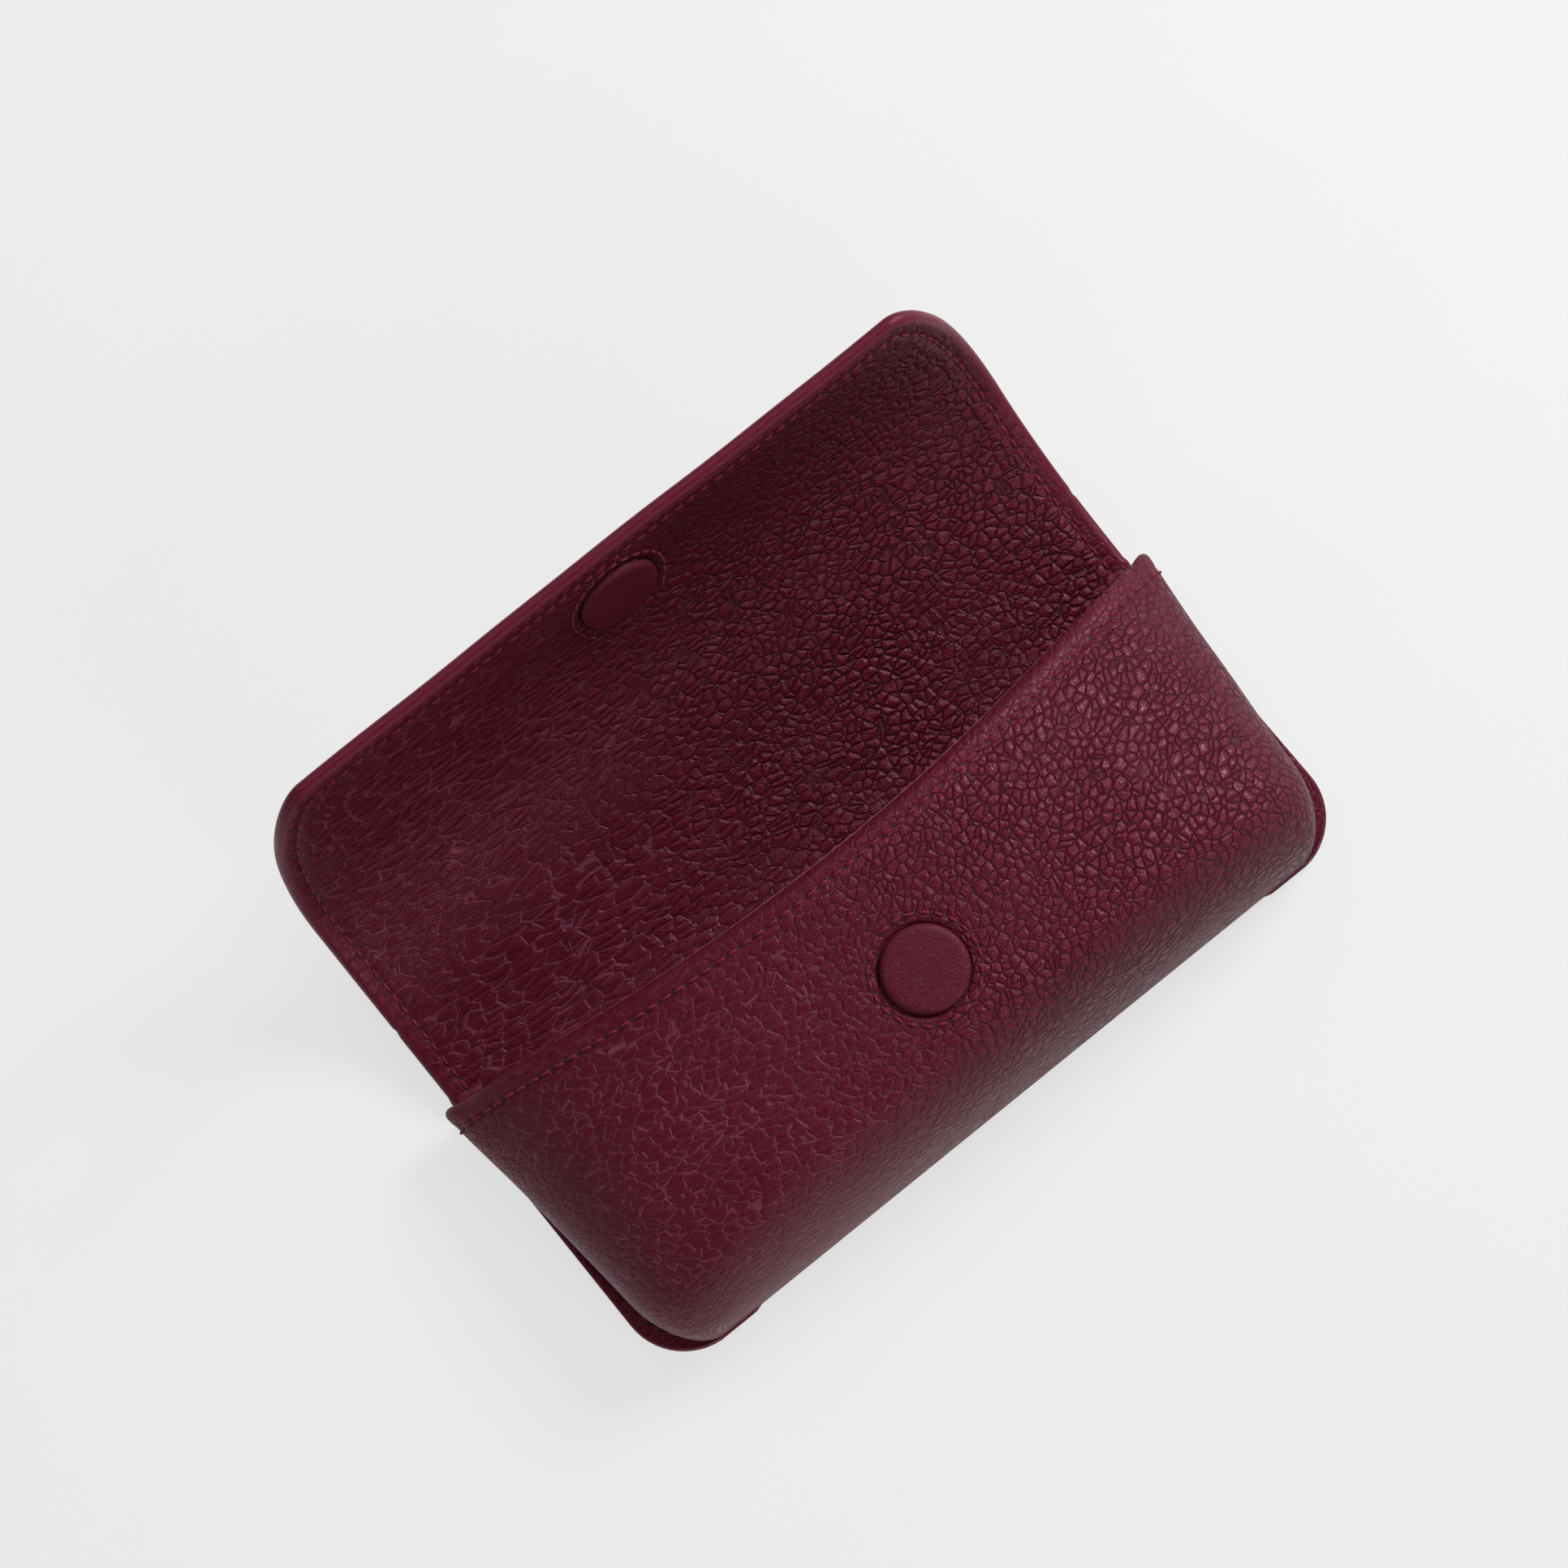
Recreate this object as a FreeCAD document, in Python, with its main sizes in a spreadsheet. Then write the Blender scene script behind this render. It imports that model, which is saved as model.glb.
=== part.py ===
import FreeCAD, Part
import math
import os

import Sketcher
from FreeCAD import Placement, Rotation, Vector

# Soft pouch glasses case, lying open on its back.
# +X runs along the width, +Y from the bottom fold up to the flap, +Z out of the back.
# The origin is the centre of the back panel's underside. Sketches and sections are
# drawn with Y counted from the bottom fold, and each piece is then placed half the
# back's height lower.

os.makedirs("parts", exist_ok=True)
doc = FreeCAD.newDocument("GlassesCase")
sheet = doc.addObject("Spreadsheet::Sheet", "Sizes")

SIZES = (
    ("case_width", 160.0),
    ("back_height", 62.6),
    ("corner_radius", 12.0),
    ("leather", 1.2),
    ("board", 0.6),
    ("lining", 1.0),
    ("lining_inset", 0.8),
    ("board_inset", 5.6),
    ("board_margin", 6.0),
    ("flange", 4.0),
    ("mouth_height", 61.0),
    ("front_depth", 30.5),
    ("mouth_depth", 36.0),
    ("mouth_setback", 11.6),
    ("mouth_lift", 1.25),
    ("bottom_round", 14.0),
    ("front_corner", 14.0),
    ("front_corner_width", 8.0),
    ("wall_bulge", 0.6),
    ("mouth_bulge", 6.0),
    ("bulge_level", 6.5),
    ("hinge_gap", 1.0),
    ("fold_gap", 1.8),
    ("flap_slope", 13.0),
    ("flap_turn", 66.0),
    ("flap_start", 11.5),
    ("flap_bend", 56.0),
    ("flap_end", 13.6),
    ("fold_place", 36.0),
    ("lip_corner_width", 13.3),
    ("disc_height", 23.7),
    ("flap_disc_place", 65.3),
    ("hole_radius", 8.7),
    ("cover_radius", 8.2),
    ("brim_radius", 11.0),
    ("cover_proud", 1.2),
    ("cover_skin", 0.8),
    ("magnet_radius", 7.0),
    ("magnet_height", 1.4),
    ("stitch_ring_radius", 10.15),
    ("stitch_inset", 3.8),
    ("seam_inset", 2.7),
    ("stitch_pitch", 2.9),
    ("stitch_length", 2.1),
    ("thread", 0.5),
)

for row, (alias, value) in enumerate(SIZES, start=1):
    sheet.set(f"A{row}", alias)
    sheet.set(f"B{row}", str(value))
    sheet.setAlias(f"B{row}", alias)
doc.recompute()


def size(alias):
    return float(sheet.get(alias))


WIDTH = size("case_width")
HALF = WIDTH / 2
BACK = size("back_height")
LEATHER = size("leather")
BOARD = size("board")
LINING = size("lining")
WALL = LEATHER + BOARD + LINING
MOUTH = size("mouth_height")
THREAD = size("thread")
PIECES = []


def keep(piece, label):
    """Name a finished piece and move it into the case's own frame."""
    piece.Label = label
    piece.setExpression("Placement.Base.y", "-Sizes.back_height / 2")
    PIECES.append(piece)
    return piece


def feature(name, shape):
    piece = doc.addObject("Part::Feature", name)
    piece.Shape = shape
    return piece


def boolean(kind, name, base, tool):
    piece = doc.addObject(kind, name)
    piece.Base = base
    piece.Tool = tool
    return piece


def cut(name, base, *tools):
    for number, tool in enumerate(tools):
        base = boolean("Part::Cut", f"{name}_cut{number}", base, tool)
    return base


def origin_plane(body, role):
    return next(item for item in body.Origin.OriginFeatures if item.Role == role)


# ---- the flat back ---------------------------------------------------------


def back_plate(name, inset, low, thick, top):
    """A plate with rounded lower corners: a rectangle sketch, a pad and a fillet."""
    body = doc.addObject("PartDesign::Body", name)
    sketch = body.newObject("Sketcher::SketchObject", f"{name}_outline")
    sketch.AttachmentSupport = (origin_plane(body, "XY_Plane"), "")
    sketch.MapMode = "FlatFace"
    corners = (Vector(-70, 1, 0), Vector(70, 1, 0), Vector(70, 60, 0), Vector(-70, 60, 0))
    for number in range(4):
        sketch.addGeometry(Part.LineSegment(corners[number], corners[(number + 1) % 4]))
    for number in range(4):
        sketch.addConstraint(Sketcher.Constraint("Coincident", number, 2, (number + 1) % 4, 1))
    for number in (0, 2):
        sketch.addConstraint(Sketcher.Constraint("Horizontal", number))
        sketch.addConstraint(Sketcher.Constraint("Vertical", number + 1))
    span = sketch.addConstraint(Sketcher.Constraint("DistanceX", 0, 1, 0, 2, 140.0))
    side = sketch.addConstraint(Sketcher.Constraint("DistanceX", -1, 1, 0, 2, 70.0))
    foot = sketch.addConstraint(Sketcher.Constraint("DistanceY", -1, 1, 0, 1, 1.0))
    head = sketch.addConstraint(Sketcher.Constraint("DistanceY", -1, 1, 2, 1, 60.0))
    sketch.setExpression(f"Constraints[{span}]", f"Sizes.case_width - 2 * {inset}")
    sketch.setExpression(f"Constraints[{side}]", f"Sizes.case_width / 2 - {inset}")
    sketch.setExpression(f"Constraints[{foot}]", inset)
    sketch.setExpression(f"Constraints[{head}]", top)
    pad = body.newObject("PartDesign::Pad", f"{name}_pad")
    pad.Profile = sketch
    pad.setExpression("Length", thick)
    doc.recompute()
    lower = []
    for number, edge in enumerate(pad.Shape.Edges, start=1):
        middle = edge.CenterOfMass
        upright = abs(edge.Vertexes[0].Z - edge.Vertexes[-1].Z) > 0.1
        if upright and middle.y < BACK / 2:
            lower.append(f"Edge{number}")
    fillet = body.newObject("PartDesign::Fillet", f"{name}_corners")
    fillet.Base = (pad, lower)
    fillet.setExpression("Radius", f"Sizes.corner_radius - {inset}")
    body.Tip = fillet
    body.setExpression("Placement.Base.z", low)
    return body


HINGE_EDGE = "Sizes.back_height - Sizes.hinge_gap / 2"
keep(back_plate("back_panel", "0", "0", "Sizes.leather", HINGE_EDGE), "back_panel")
keep(
    back_plate(
        "back_board",
        "Sizes.board_inset",
        "Sizes.leather",
        "Sizes.board",
        "Sizes.back_height - Sizes.board_margin",
    ),
    "back_board",
)
keep(
    back_plate(
        "back_lining",
        "Sizes.board_inset",
        "Sizes.leather + Sizes.board",
        "Sizes.lining",
        HINGE_EDGE,
    ),
    "back_lining",
)


# ---- the moulded front -----------------------------------------------------


def ease(part, power):
    """A quarter of a superellipse: 0 at 0 with an upright start, 1 at 1 and beyond."""
    part = min(max(part, 0.0), 1.0)
    return (1 - (1 - part) ** power) ** (1 / power)


def arch_sizes(base, inset):
    """Half widths, bulge level and top of the front's arch at a height above the fold."""
    depth = base - inset
    share = min(base / MOUTH, 1.0)
    rounding = size("front_corner") - inset / 2
    plan = HALF - size("flange") - inset
    if depth < rounding:
        plan += (size("front_corner_width") - inset / 2) * (math.sqrt(1 - (1 - depth / rounding) ** 2) - 1)
    rise = ease(depth / size("bottom_round"), 2.4)
    bulge = size("wall_bulge") + (size("mouth_bulge") - size("wall_bulge")) * share**1.1
    top = size("front_depth") + (size("mouth_depth") - size("front_depth")) * share
    foot = 2 * LEATHER
    return plan, plan + bulge * rise, foot + size("bulge_level") * rise, foot + (top - inset - foot) * rise


MOUTH_SPARE = 6.0


def slant(base):
    """How far each section leans back towards the fold, per unit of height."""
    lean = size("mouth_setback") / (size("mouth_depth") - 2 * LEATHER)
    return lean * min(max(base / MOUTH, 0.0), 1.0) ** 1.5


def arch_point(base, inset, turn):
    """A point of the front's skin: turn is 0 at the right bulge, 90 at the top, 180 at the left."""
    plan, widest, level, top = arch_sizes(base, inset)
    share = min(base / MOUTH, 1.0)
    across = 2.0 + 1.0 * (1 - share)
    upright = 1.4 + 1.6 * (1 - share)
    angle = math.radians(turn)
    cosine = math.cos(angle)
    x = math.copysign(widest * abs(cosine) ** (2 / across), cosine)
    z = level + (top - level) * abs(math.sin(angle)) ** (2 / upright)
    return Vector(x, base - slant(base) * (z - 2 * LEATHER), z)


def section(base, inset, floor):
    """A closed slice of the front: floor, side walls and arch."""
    plan, widest, level, top = arch_sizes(base, inset)
    lean = slant(base)
    foot = 2 * LEATHER

    def place(x, z):
        return Vector(x, base - lean * (z - foot), z)

    arch = Part.BSplineCurve()
    points = [arch_point(base, inset, turn) for turn in range(0, 181, 12)]
    arch.interpolate(points)
    right = [place(plan, floor), place(plan, foot), points[0]]
    left = [points[-1], place(-plan, foot), place(-plan, floor)]
    edges = [Part.makeLine(right[0], right[1]), Part.makeLine(right[1], right[2]), arch.toShape()]
    edges += [Part.makeLine(left[0], left[1]), Part.makeLine(left[1], left[2])]
    edges.append(Part.makeLine(left[2], right[0]))
    return Part.Wire(edges)


def front_block(name, inset, floor, reach):
    """A solid that fills the front out to a skin a given inset inside the leather."""
    stations = [0.5, 1.2, 2.2, 3.6, 5.4, 7.8, 10.6, 14.0, 20.0, 27.0, 35.0, 43.0, 52.0, 58.0]
    places = [value + inset for value in stations] + [MOUTH + reach]
    slices = []
    for number, base in enumerate(places):
        slices.append(feature(f"{name}_slice{number}", section(base, inset, floor)))
    block = doc.addObject("Part::Loft", name)
    block.Sections = slices
    block.Solid = True
    block.Ruled = True
    return block


def mouth_setback(z):
    """How far the mouth's edge lies back towards the fold, at a height out from the back."""
    climb = max(z - 2 * LEATHER, 0.0) / (size("mouth_depth") - 2 * LEATHER)
    lift = size("mouth_lift") * 6.75 * climb * (1 - climb) ** 2
    return size("mouth_setback") * climb**2.1 - lift


def mouth_cutter(name, back_off):
    """A prism that takes away everything beyond the mouth's curved edge."""
    levels = [2 * LEATHER + 1.2 * step for step in range(36)]
    edge = [Vector(-WIDTH, MOUTH - back_off - mouth_setback(z), z) for z in levels]
    curve = Part.BSplineCurve()
    curve.interpolate(edge)
    beyond = MOUTH + 30
    below = -LEATHER
    corners = [edge[-1], Vector(-WIDTH, beyond, edge[-1].z), Vector(-WIDTH, beyond, below)]
    corners += [Vector(-WIDTH, edge[0].y, below), edge[0]]
    edges = [curve.toShape()] + [Part.makeLine(a, b) for a, b in zip(corners, corners[1:])]
    return feature(name, Part.Face(Part.Wire(edges)).extrude(Vector(2 * WIDTH, 0, 0)))


def slice_where(too_low):
    """The slice at which a test of its height turns from true to false."""
    low, high = 8.0, MOUTH + MOUTH_SPARE
    for _ in range(40):
        middle = (low + high) / 2
        if too_low(middle):
            low = middle
        else:
            high = middle
    return low


def disc_frame():
    """Where the front's magnet sits: the skin's own point and its outward normal."""
    base = slice_where(lambda value: arch_point(value, 0, 90).y < size("disc_height"))
    here = arch_point(base, 0, 90)
    along = arch_point(base + 1, 0, 90) - arch_point(base - 1, 0, 90)
    slope = math.degrees(math.atan2(along.z, along.y))
    return Placement(here, Rotation(Vector(1, 0, 0), slope))


FRONT_DISC = disc_frame()


def disc(name, radius, low, height, frame):
    """A round slab on a magnet's axis, its sizes bound to the sheet."""
    piece = doc.addObject("Part::Cylinder", name)
    piece.setExpression("Radius", radius)
    piece.setExpression("Height", height)
    piece.Placement = frame * Placement(Vector(0, 0, low), Rotation())
    return piece


THROUGH = 6.0


def through_disc(name, radius, frame):
    """A round tool on a magnet's axis that passes right through the leather."""
    return disc(name, radius, -THROUGH, f"{2 * THROUGH}", frame)


flange_box = doc.addObject("Part::Box", "flange_box")
flange_box.setExpression("Length", "Sizes.case_width")
flange_box.setExpression("Width", "Sizes.mouth_height")
flange_box.setExpression("Height", "Sizes.leather")
flange_box.setExpression("Placement.Base.x", "-Sizes.case_width / 2")
flange_box.setExpression("Placement.Base.z", "Sizes.leather")
doc.recompute()
flange_plate = doc.addObject("Part::Fillet", "flange_plate")
flange_plate.Base = flange_box
radius = size("corner_radius")
flange_plate.Edges = [
    (number, radius, radius)
    for number, edge in enumerate(flange_box.Shape.Edges, start=1)
    if abs(edge.Vertexes[0].Z - edge.Vertexes[-1].Z) > 0.1 and edge.CenterOfMass.y < 1
]

front_whole = front_block("front_whole", 0.0, 2 * LEATHER - 0.4, MOUTH_SPARE)
front_outside = cut("front_outside", front_whole, mouth_cutter("panel_mouth", 0.0))
front_mass = boolean("Part::Fuse", "front_mass", front_outside, flange_plate)
panel_void = front_block("panel_void", LEATHER, 0.2, MOUTH_SPARE + 2)
panel_hole = through_disc("panel_hole", "Sizes.hole_radius", FRONT_DISC)
keep(cut("front_panel", front_mass, panel_void, panel_hole), "front_panel")

CLEAR = 0.05
board_block = front_block("board_block", LEATHER + CLEAR, WALL + CLEAR, MOUTH_SPARE)
board_void = front_block("board_void", LEATHER + BOARD, 0.2, MOUTH_SPARE + 2)
board_hole = through_disc("board_hole", "Sizes.brim_radius + 0.3", FRONT_DISC)
board_mouth = mouth_cutter("board_mouth", 3.0)
keep(cut("front_board", board_block, board_void, board_hole, board_mouth), "front_board")

lining_block = front_block("lining_block", LEATHER + BOARD + CLEAR, WALL + CLEAR, MOUTH_SPARE)
lining_void = front_block("lining_void", WALL, 0.2, MOUTH_SPARE + 2)
lining_mouth = mouth_cutter("lining_mouth", 0.6)
keep(cut("front_lining", lining_block, lining_void, lining_mouth), "front_lining")


# ---- the flap: a leather band that rises, bends over and ends in a straight lip --------

SLOPE = size("flap_slope")
START = size("flap_start")
BEND = size("flap_bend")
REACH = START + BEND + size("flap_end")
FOLD = size("fold_place")
BEND_RADIUS = BEND / math.radians(size("flap_turn"))


def direction(angle):
    return Vector(0, math.cos(math.radians(angle)), math.sin(math.radians(angle)))


def flap_angle(place):
    share = min(max((place - START) / BEND, 0.0), 1.0)
    return SLOPE + size("flap_turn") * share


def flap_point(place, depth):
    """A point of the flap: place runs along its inside, depth goes out through it."""
    root = Vector(0, BACK, WALL)
    turned = flap_angle(place)
    inside = root + direction(SLOPE) * min(place, START)
    if place > START:
        inside += (direction(SLOPE + 90) - direction(turned + 90)) * BEND_RADIUS
    if place > START + BEND:
        inside += direction(turned) * (place - START - BEND)
    return inside + direction(turned - 90) * depth


def band_edges(first, last, depth):
    """The line, arc and line along one depth of the flap, between two places on it."""
    marks = [first] + [mark for mark in (START, START + BEND) if first < mark < last] + [last]
    edges = []
    for begin, end in zip(marks, marks[1:]):
        ends = flap_point(begin, depth), flap_point(end, depth)
        middle = flap_point((begin + end) / 2, depth)
        straight = flap_angle(begin) == flap_angle(end)
        edges.append(Part.LineSegment(*ends) if straight else Part.Arc(ends[0], middle, ends[1]))
    return edges


def flat(point):
    """From the case's YZ plane to a sketch that lies on that plane."""
    return Vector(point.y, point.z, 0)


def band_body(name, first, last, outer, inner, inset):
    """One layer of the flap between two places: a profile sketch and a symmetric pad."""
    body = doc.addObject("PartDesign::Body", name)
    sketch = body.newObject("Sketcher::SketchObject", f"{name}_profile")
    sketch.AttachmentSupport = (origin_plane(body, "YZ_Plane"), "")
    sketch.MapMode = "FlatFace"
    rims = band_edges(first, last, outer), band_edges(first, last, inner)
    for rim in rims:
        for edge in rim:
            ends = flat(edge.StartPoint), flat(edge.EndPoint)
            if isinstance(edge, Part.LineSegment):
                sketch.addGeometry(Part.LineSegment(*ends))
                continue
            middle = flat(edge.value((edge.FirstParameter + edge.LastParameter) / 2))
            sketch.addGeometry(Part.Arc(ends[0], middle, ends[1]))
    for place in (first, last):
        sketch.addGeometry(
            Part.LineSegment(flat(flap_point(place, outer)), flat(flap_point(place, inner)))
        )
    pad = body.newObject("PartDesign::Pad", f"{name}_pad")
    pad.Profile = sketch
    pad.Midplane = True
    pad.setExpression("Length", f"Sizes.case_width - 2 * {inset}")
    body.Tip = pad
    return body


def lip_corners(name, inset):
    """Two prisms that take the flap's rounded corners off, seen along the case."""
    low = flap_point(FOLD + size("fold_gap"), 0).z
    high = flap_point(REACH, 0).z - inset
    side = HALF - inset
    inward = side - size("lip_corner_width")
    waist = (low + high) / 2 + (high - low) * 0.24
    prisms = []
    for sign in (-1, 1):
        curve = Part.BSplineCurve()
        bulge = side - size("lip_corner_width") * 0.22
        points = [(side, low), (bulge, waist), (inward, high)]
        curve.interpolate([Vector(sign * x, -10, z) for x, z in points])
        outside = [(inward, high), (inward, high + 12), (side + 8, high + 12), (side + 8, low), (side, low)]
        corners = [Vector(sign * x, -10, z) for x, z in outside]
        edges = [curve.toShape()]
        edges += [Part.makeLine(a, b) for a, b in zip(corners, corners[1:])]
        face = Part.Face(Part.Wire(edges))
        prisms.append(face.extrude(Vector(0, 180, 0)))
    return feature(name, Part.makeCompound(prisms))


ROOT_FIRST = size("hinge_gap") / 2
ROOT_LAST = FOLD - size("fold_gap") / 2
LIP_FIRST = FOLD + size("fold_gap") / 2

MARGIN = size("board_margin")
# each layer of the flap: its name, its two depths, its inset from the outline as an
# expression and as a number, and how far it stays back from the two bends
LAYERS = (
    ("panel", WALL, LINING + BOARD, "0", 0.0, 0.0),
    ("board", LINING + BOARD, LINING, "Sizes.board_inset", size("board_inset"), MARGIN),
    ("lining", LINING, 0.0, "Sizes.lining_inset", size("lining_inset"), 0.0),
)

FLAP_DISC = Placement(
    flap_point(size("flap_disc_place"), 0),
    Rotation(Vector(1, 0, 0), flap_angle(size("flap_disc_place"))),
)

for layer, outer, inner, inset, margin, back_off in LAYERS:
    ends = ROOT_FIRST + back_off, ROOT_LAST - back_off
    root = band_body(f"flap_root_{layer}", *ends, outer, inner, inset)
    keep(root, f"flap_root_{layer}")
    ends = LIP_FIRST + back_off, REACH - margin
    band = band_body(f"flap_lip_{layer}_band", *ends, outer, inner, inset)
    tools = [lip_corners(f"flap_lip_{layer}_corners", margin)]
    if layer == "board":
        tools.append(through_disc("flap_board_hole", "Sizes.brim_radius + 0.3", FLAP_DISC))
    if layer == "lining":
        tools.append(through_disc("flap_lining_hole", "Sizes.hole_radius", FLAP_DISC))
    keep(cut(f"flap_lip_{layer}", band, *tools), f"flap_lip_{layer}")


# ---- the magnets under their leather covers ------------------------------------------


BRIM_THICK = 0.45
EDGE_ROUND = 0.7


def magnet_and_cover(name, frame, brim, low):
    """A magnet disc, and the leather cap over it whose brim is caught under the skin."""
    height = size("cover_proud") - low
    crown = disc(f"{name}_crown", "Sizes.cover_radius", low, f"{height}", frame)
    cap = boolean("Part::Fuse", f"{name}_cap", brim, crown)
    doc.recompute()
    rounded = doc.addObject("Part::Fillet", f"{name}_rounded")
    rounded.Base = cap
    top = frame.multVec(Vector(0, 0, size("cover_proud")))
    rounded.Edges = [
        (number, EDGE_ROUND, EDGE_ROUND)
        for number, edge in enumerate(cap.Shape.Edges, start=1)
        if len(edge.Vertexes) == 1 and (edge.CenterOfMass - top).Length < 0.2
    ]
    ceiling = size("cover_proud") - size("cover_skin")
    depth = f"{ceiling + THROUGH}"
    hollow = disc(f"{name}_hollow", "Sizes.magnet_radius + 0.1", -THROUGH, depth, frame)
    keep(boolean("Part::Cut", f"{name}_cover", rounded, hollow), f"{name}_cover")
    bottom = ceiling - size("magnet_height") - CLEAR
    magnet = disc(name, "Sizes.magnet_radius", bottom, "Sizes.magnet_height", frame)
    magnet.Placement = Placement(Vector(0, -BACK / 2, 0), Rotation()) * magnet.Placement
    magnet.Label = name
    PIECES.append(magnet)


# the front's brim is a flat ring, and the flap's follows the flap's curve
brim_low = -LEATHER - 0.5
front_brim = disc("front_magnet_brim", "Sizes.brim_radius", brim_low, f"{BRIM_THICK}", FRONT_DISC)
magnet_and_cover("front_magnet", FRONT_DISC, front_brim, brim_low)

brim_reach = size("brim_radius") + 1
brim_ends = size("flap_disc_place") - brim_reach, size("flap_disc_place") + brim_reach
brim_band = band_body("flap_magnet_band", *brim_ends, LINING + BRIM_THICK, LINING + CLEAR, "0")
brim_round = through_disc("flap_magnet_round", "Sizes.brim_radius", FLAP_DISC)
flap_brim = boolean("Part::Common", "flap_magnet_brim", brim_band, brim_round)
magnet_and_cover("flap_magnet", FLAP_DISC, flap_brim, 2 * CLEAR - LINING)


# ---- the stitching: each line is a group of short thread lengths ----------------------


def stitch(centre, along, out):
    """One thread length lying on the leather: a round bar with rounded ends."""
    along = along / along.Length
    half = size("stitch_length") / 2
    begin = centre - along * (half - THREAD / 2) + out * (THREAD * 0.2)
    bar = Part.makeCylinder(THREAD / 2, 2 * half - THREAD, begin, along)
    ends = []
    for mark, sense in ((begin, -1), (begin + along * (2 * half - THREAD), 1)):
        ends.append(Part.makeSphere(THREAD / 2, mark, along * sense, 0, 90, 360))
    return bar.multiFuse(ends).removeSplitter()


def spaced(curve_points, normals):
    """Even stitches along a chain of surface points, each with its outward normal."""
    lengths = [0.0]
    for a, b in zip(curve_points, curve_points[1:]):
        lengths.append(lengths[-1] + (b - a).Length)
    count = int(lengths[-1] / size("stitch_pitch"))
    stitches = []
    for number in range(count):
        target = (number + 0.5) * lengths[-1] / count
        index = next(i for i, value in enumerate(lengths) if value >= target)
        share = (target - lengths[index - 1]) / (lengths[index] - lengths[index - 1])
        along = curve_points[index] - curve_points[index - 1]
        stitches.append(stitch(curve_points[index - 1] + along * share, along, normals[index]))
    return Part.makeCompound(stitches)


def stitch_line(label, points, normals):
    keep(feature(label, spaced(points, normals)), label)


def normal_at(base, turn):
    """The front skin's outward normal."""
    across = arch_point(base, 0, turn + 1) - arch_point(base, 0, turn - 1)
    upward = arch_point(base + 0.5, 0, turn) - arch_point(base - 0.5, 0, turn)
    out = upward.cross(across)
    out.normalize()
    return out if out.dot(arch_point(base, 0, turn) - Vector(0, base, 0)) > 0 else -out


def hem_slice(turn):
    """The slice that lies on the mouth's hem at a turn of the arch."""

    def below_hem(base):
        here = arch_point(base, 0, turn)
        return here.y + mouth_setback(here.z) < MOUTH - size("stitch_inset")

    return slice_where(below_hem)


hem_places = [(hem_slice(4 + 172 * step / 160), 4 + 172 * step / 160) for step in range(161)]
hem = [arch_point(base, 0, turn) for base, turn in hem_places]
stitch_line("mouth_stitching", hem, [normal_at(base, turn) for base, turn in hem_places])

seam_side = HALF - size("seam_inset")
seam_round = size("corner_radius") - size("seam_inset")
for side, sign in (("left", -1), ("right", 1)):
    seam = [Vector(sign * seam_side, MOUTH - 1 - 2 * step, 2 * LEATHER) for step in range(23)]
    for step in range(1, 16):
        angle = math.radians(6 * step)
        x = seam_side - seam_round + seam_round * math.cos(angle)
        y = size("corner_radius") - seam_round * math.sin(angle)
        seam.append(Vector(sign * x, y, 2 * LEATHER))
    stitch_line(f"{side}_seam_stitching", seam, [Vector(0, 0, 1)] * len(seam))

for side, sign in (("left", -1), ("right", 1)):
    x = sign * (HALF - size("stitch_inset"))
    places = [2 + (ROOT_LAST - 3) * step / 60 for step in range(61)]
    edge = [flap_point(place, 0) + Vector(x, 0, 0) for place in places]
    outs = [direction(flap_angle(place) + 90) for place in places]
    stitch_line(f"flap_{side}_stitching", edge, outs)

lip_line = []
lip_outs = []
across_corner = size("lip_corner_width")
first_stitch = LIP_FIRST + 1
deep_corner = REACH - size("stitch_inset") - first_stitch
stitch_side = HALF - size("stitch_inset")
for step in range(-90, 91):
    turn = math.radians(90 - abs(step))
    x = stitch_side - across_corner + across_corner * math.cos(turn) ** 1.25
    place = first_stitch + deep_corner * math.sin(turn) ** 1.25
    lip_line.append(flap_point(place, 0) + Vector(math.copysign(x, step), 0, 0))
    lip_outs.append(direction(flap_angle(place) + 90))
stitch_line("flap_lip_stitching", lip_line, lip_outs)

def skin_turn(base, x):
    """The turn at which a slice of the front's arch passes over x."""
    widest = arch_sizes(base, 0)[1]
    across = 2.0 + 1.0 * (1 - min(base / MOUTH, 1.0))
    return math.degrees(math.acos(math.copysign((abs(x) / widest) ** (across / 2), x)))


RING_COUNT = 24


def ring_of_stitches(name, spot_at):
    """Stitches round a magnet; spot_at gives a point and normal from x and a step up the leather."""
    ring = []
    radius = size("stitch_ring_radius")
    for number in range(RING_COUNT):
        ends = []
        for turn in (2 * math.pi * number / RING_COUNT, 2 * math.pi * (number + 0.1) / RING_COUNT):
            ends.append(spot_at(radius * math.cos(turn), radius * math.sin(turn)))
        ring.append(stitch(ends[0][0], ends[1][0] - ends[0][0], ends[0][1]))
    keep(feature(name, Part.makeCompound(ring)), name)


def front_spot(x, step):
    height = FRONT_DISC.multVec(Vector(0, step, 0)).y
    base = slice_where(lambda value: arch_point(value, 0, skin_turn(value, x)).y < height)
    turn = skin_turn(base, x)
    return arch_point(base, 0, turn), normal_at(base, turn)


def flap_spot(x, step):
    place = size("flap_disc_place") + step
    return flap_point(place, 0) + Vector(x, 0, 0), direction(flap_angle(place) + 90)


ring_of_stitches("front_magnet_stitching", front_spot)
ring_of_stitches("flap_magnet_stitching", flap_spot)


# ---- check and write -------------------------------------------------------------------

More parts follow.
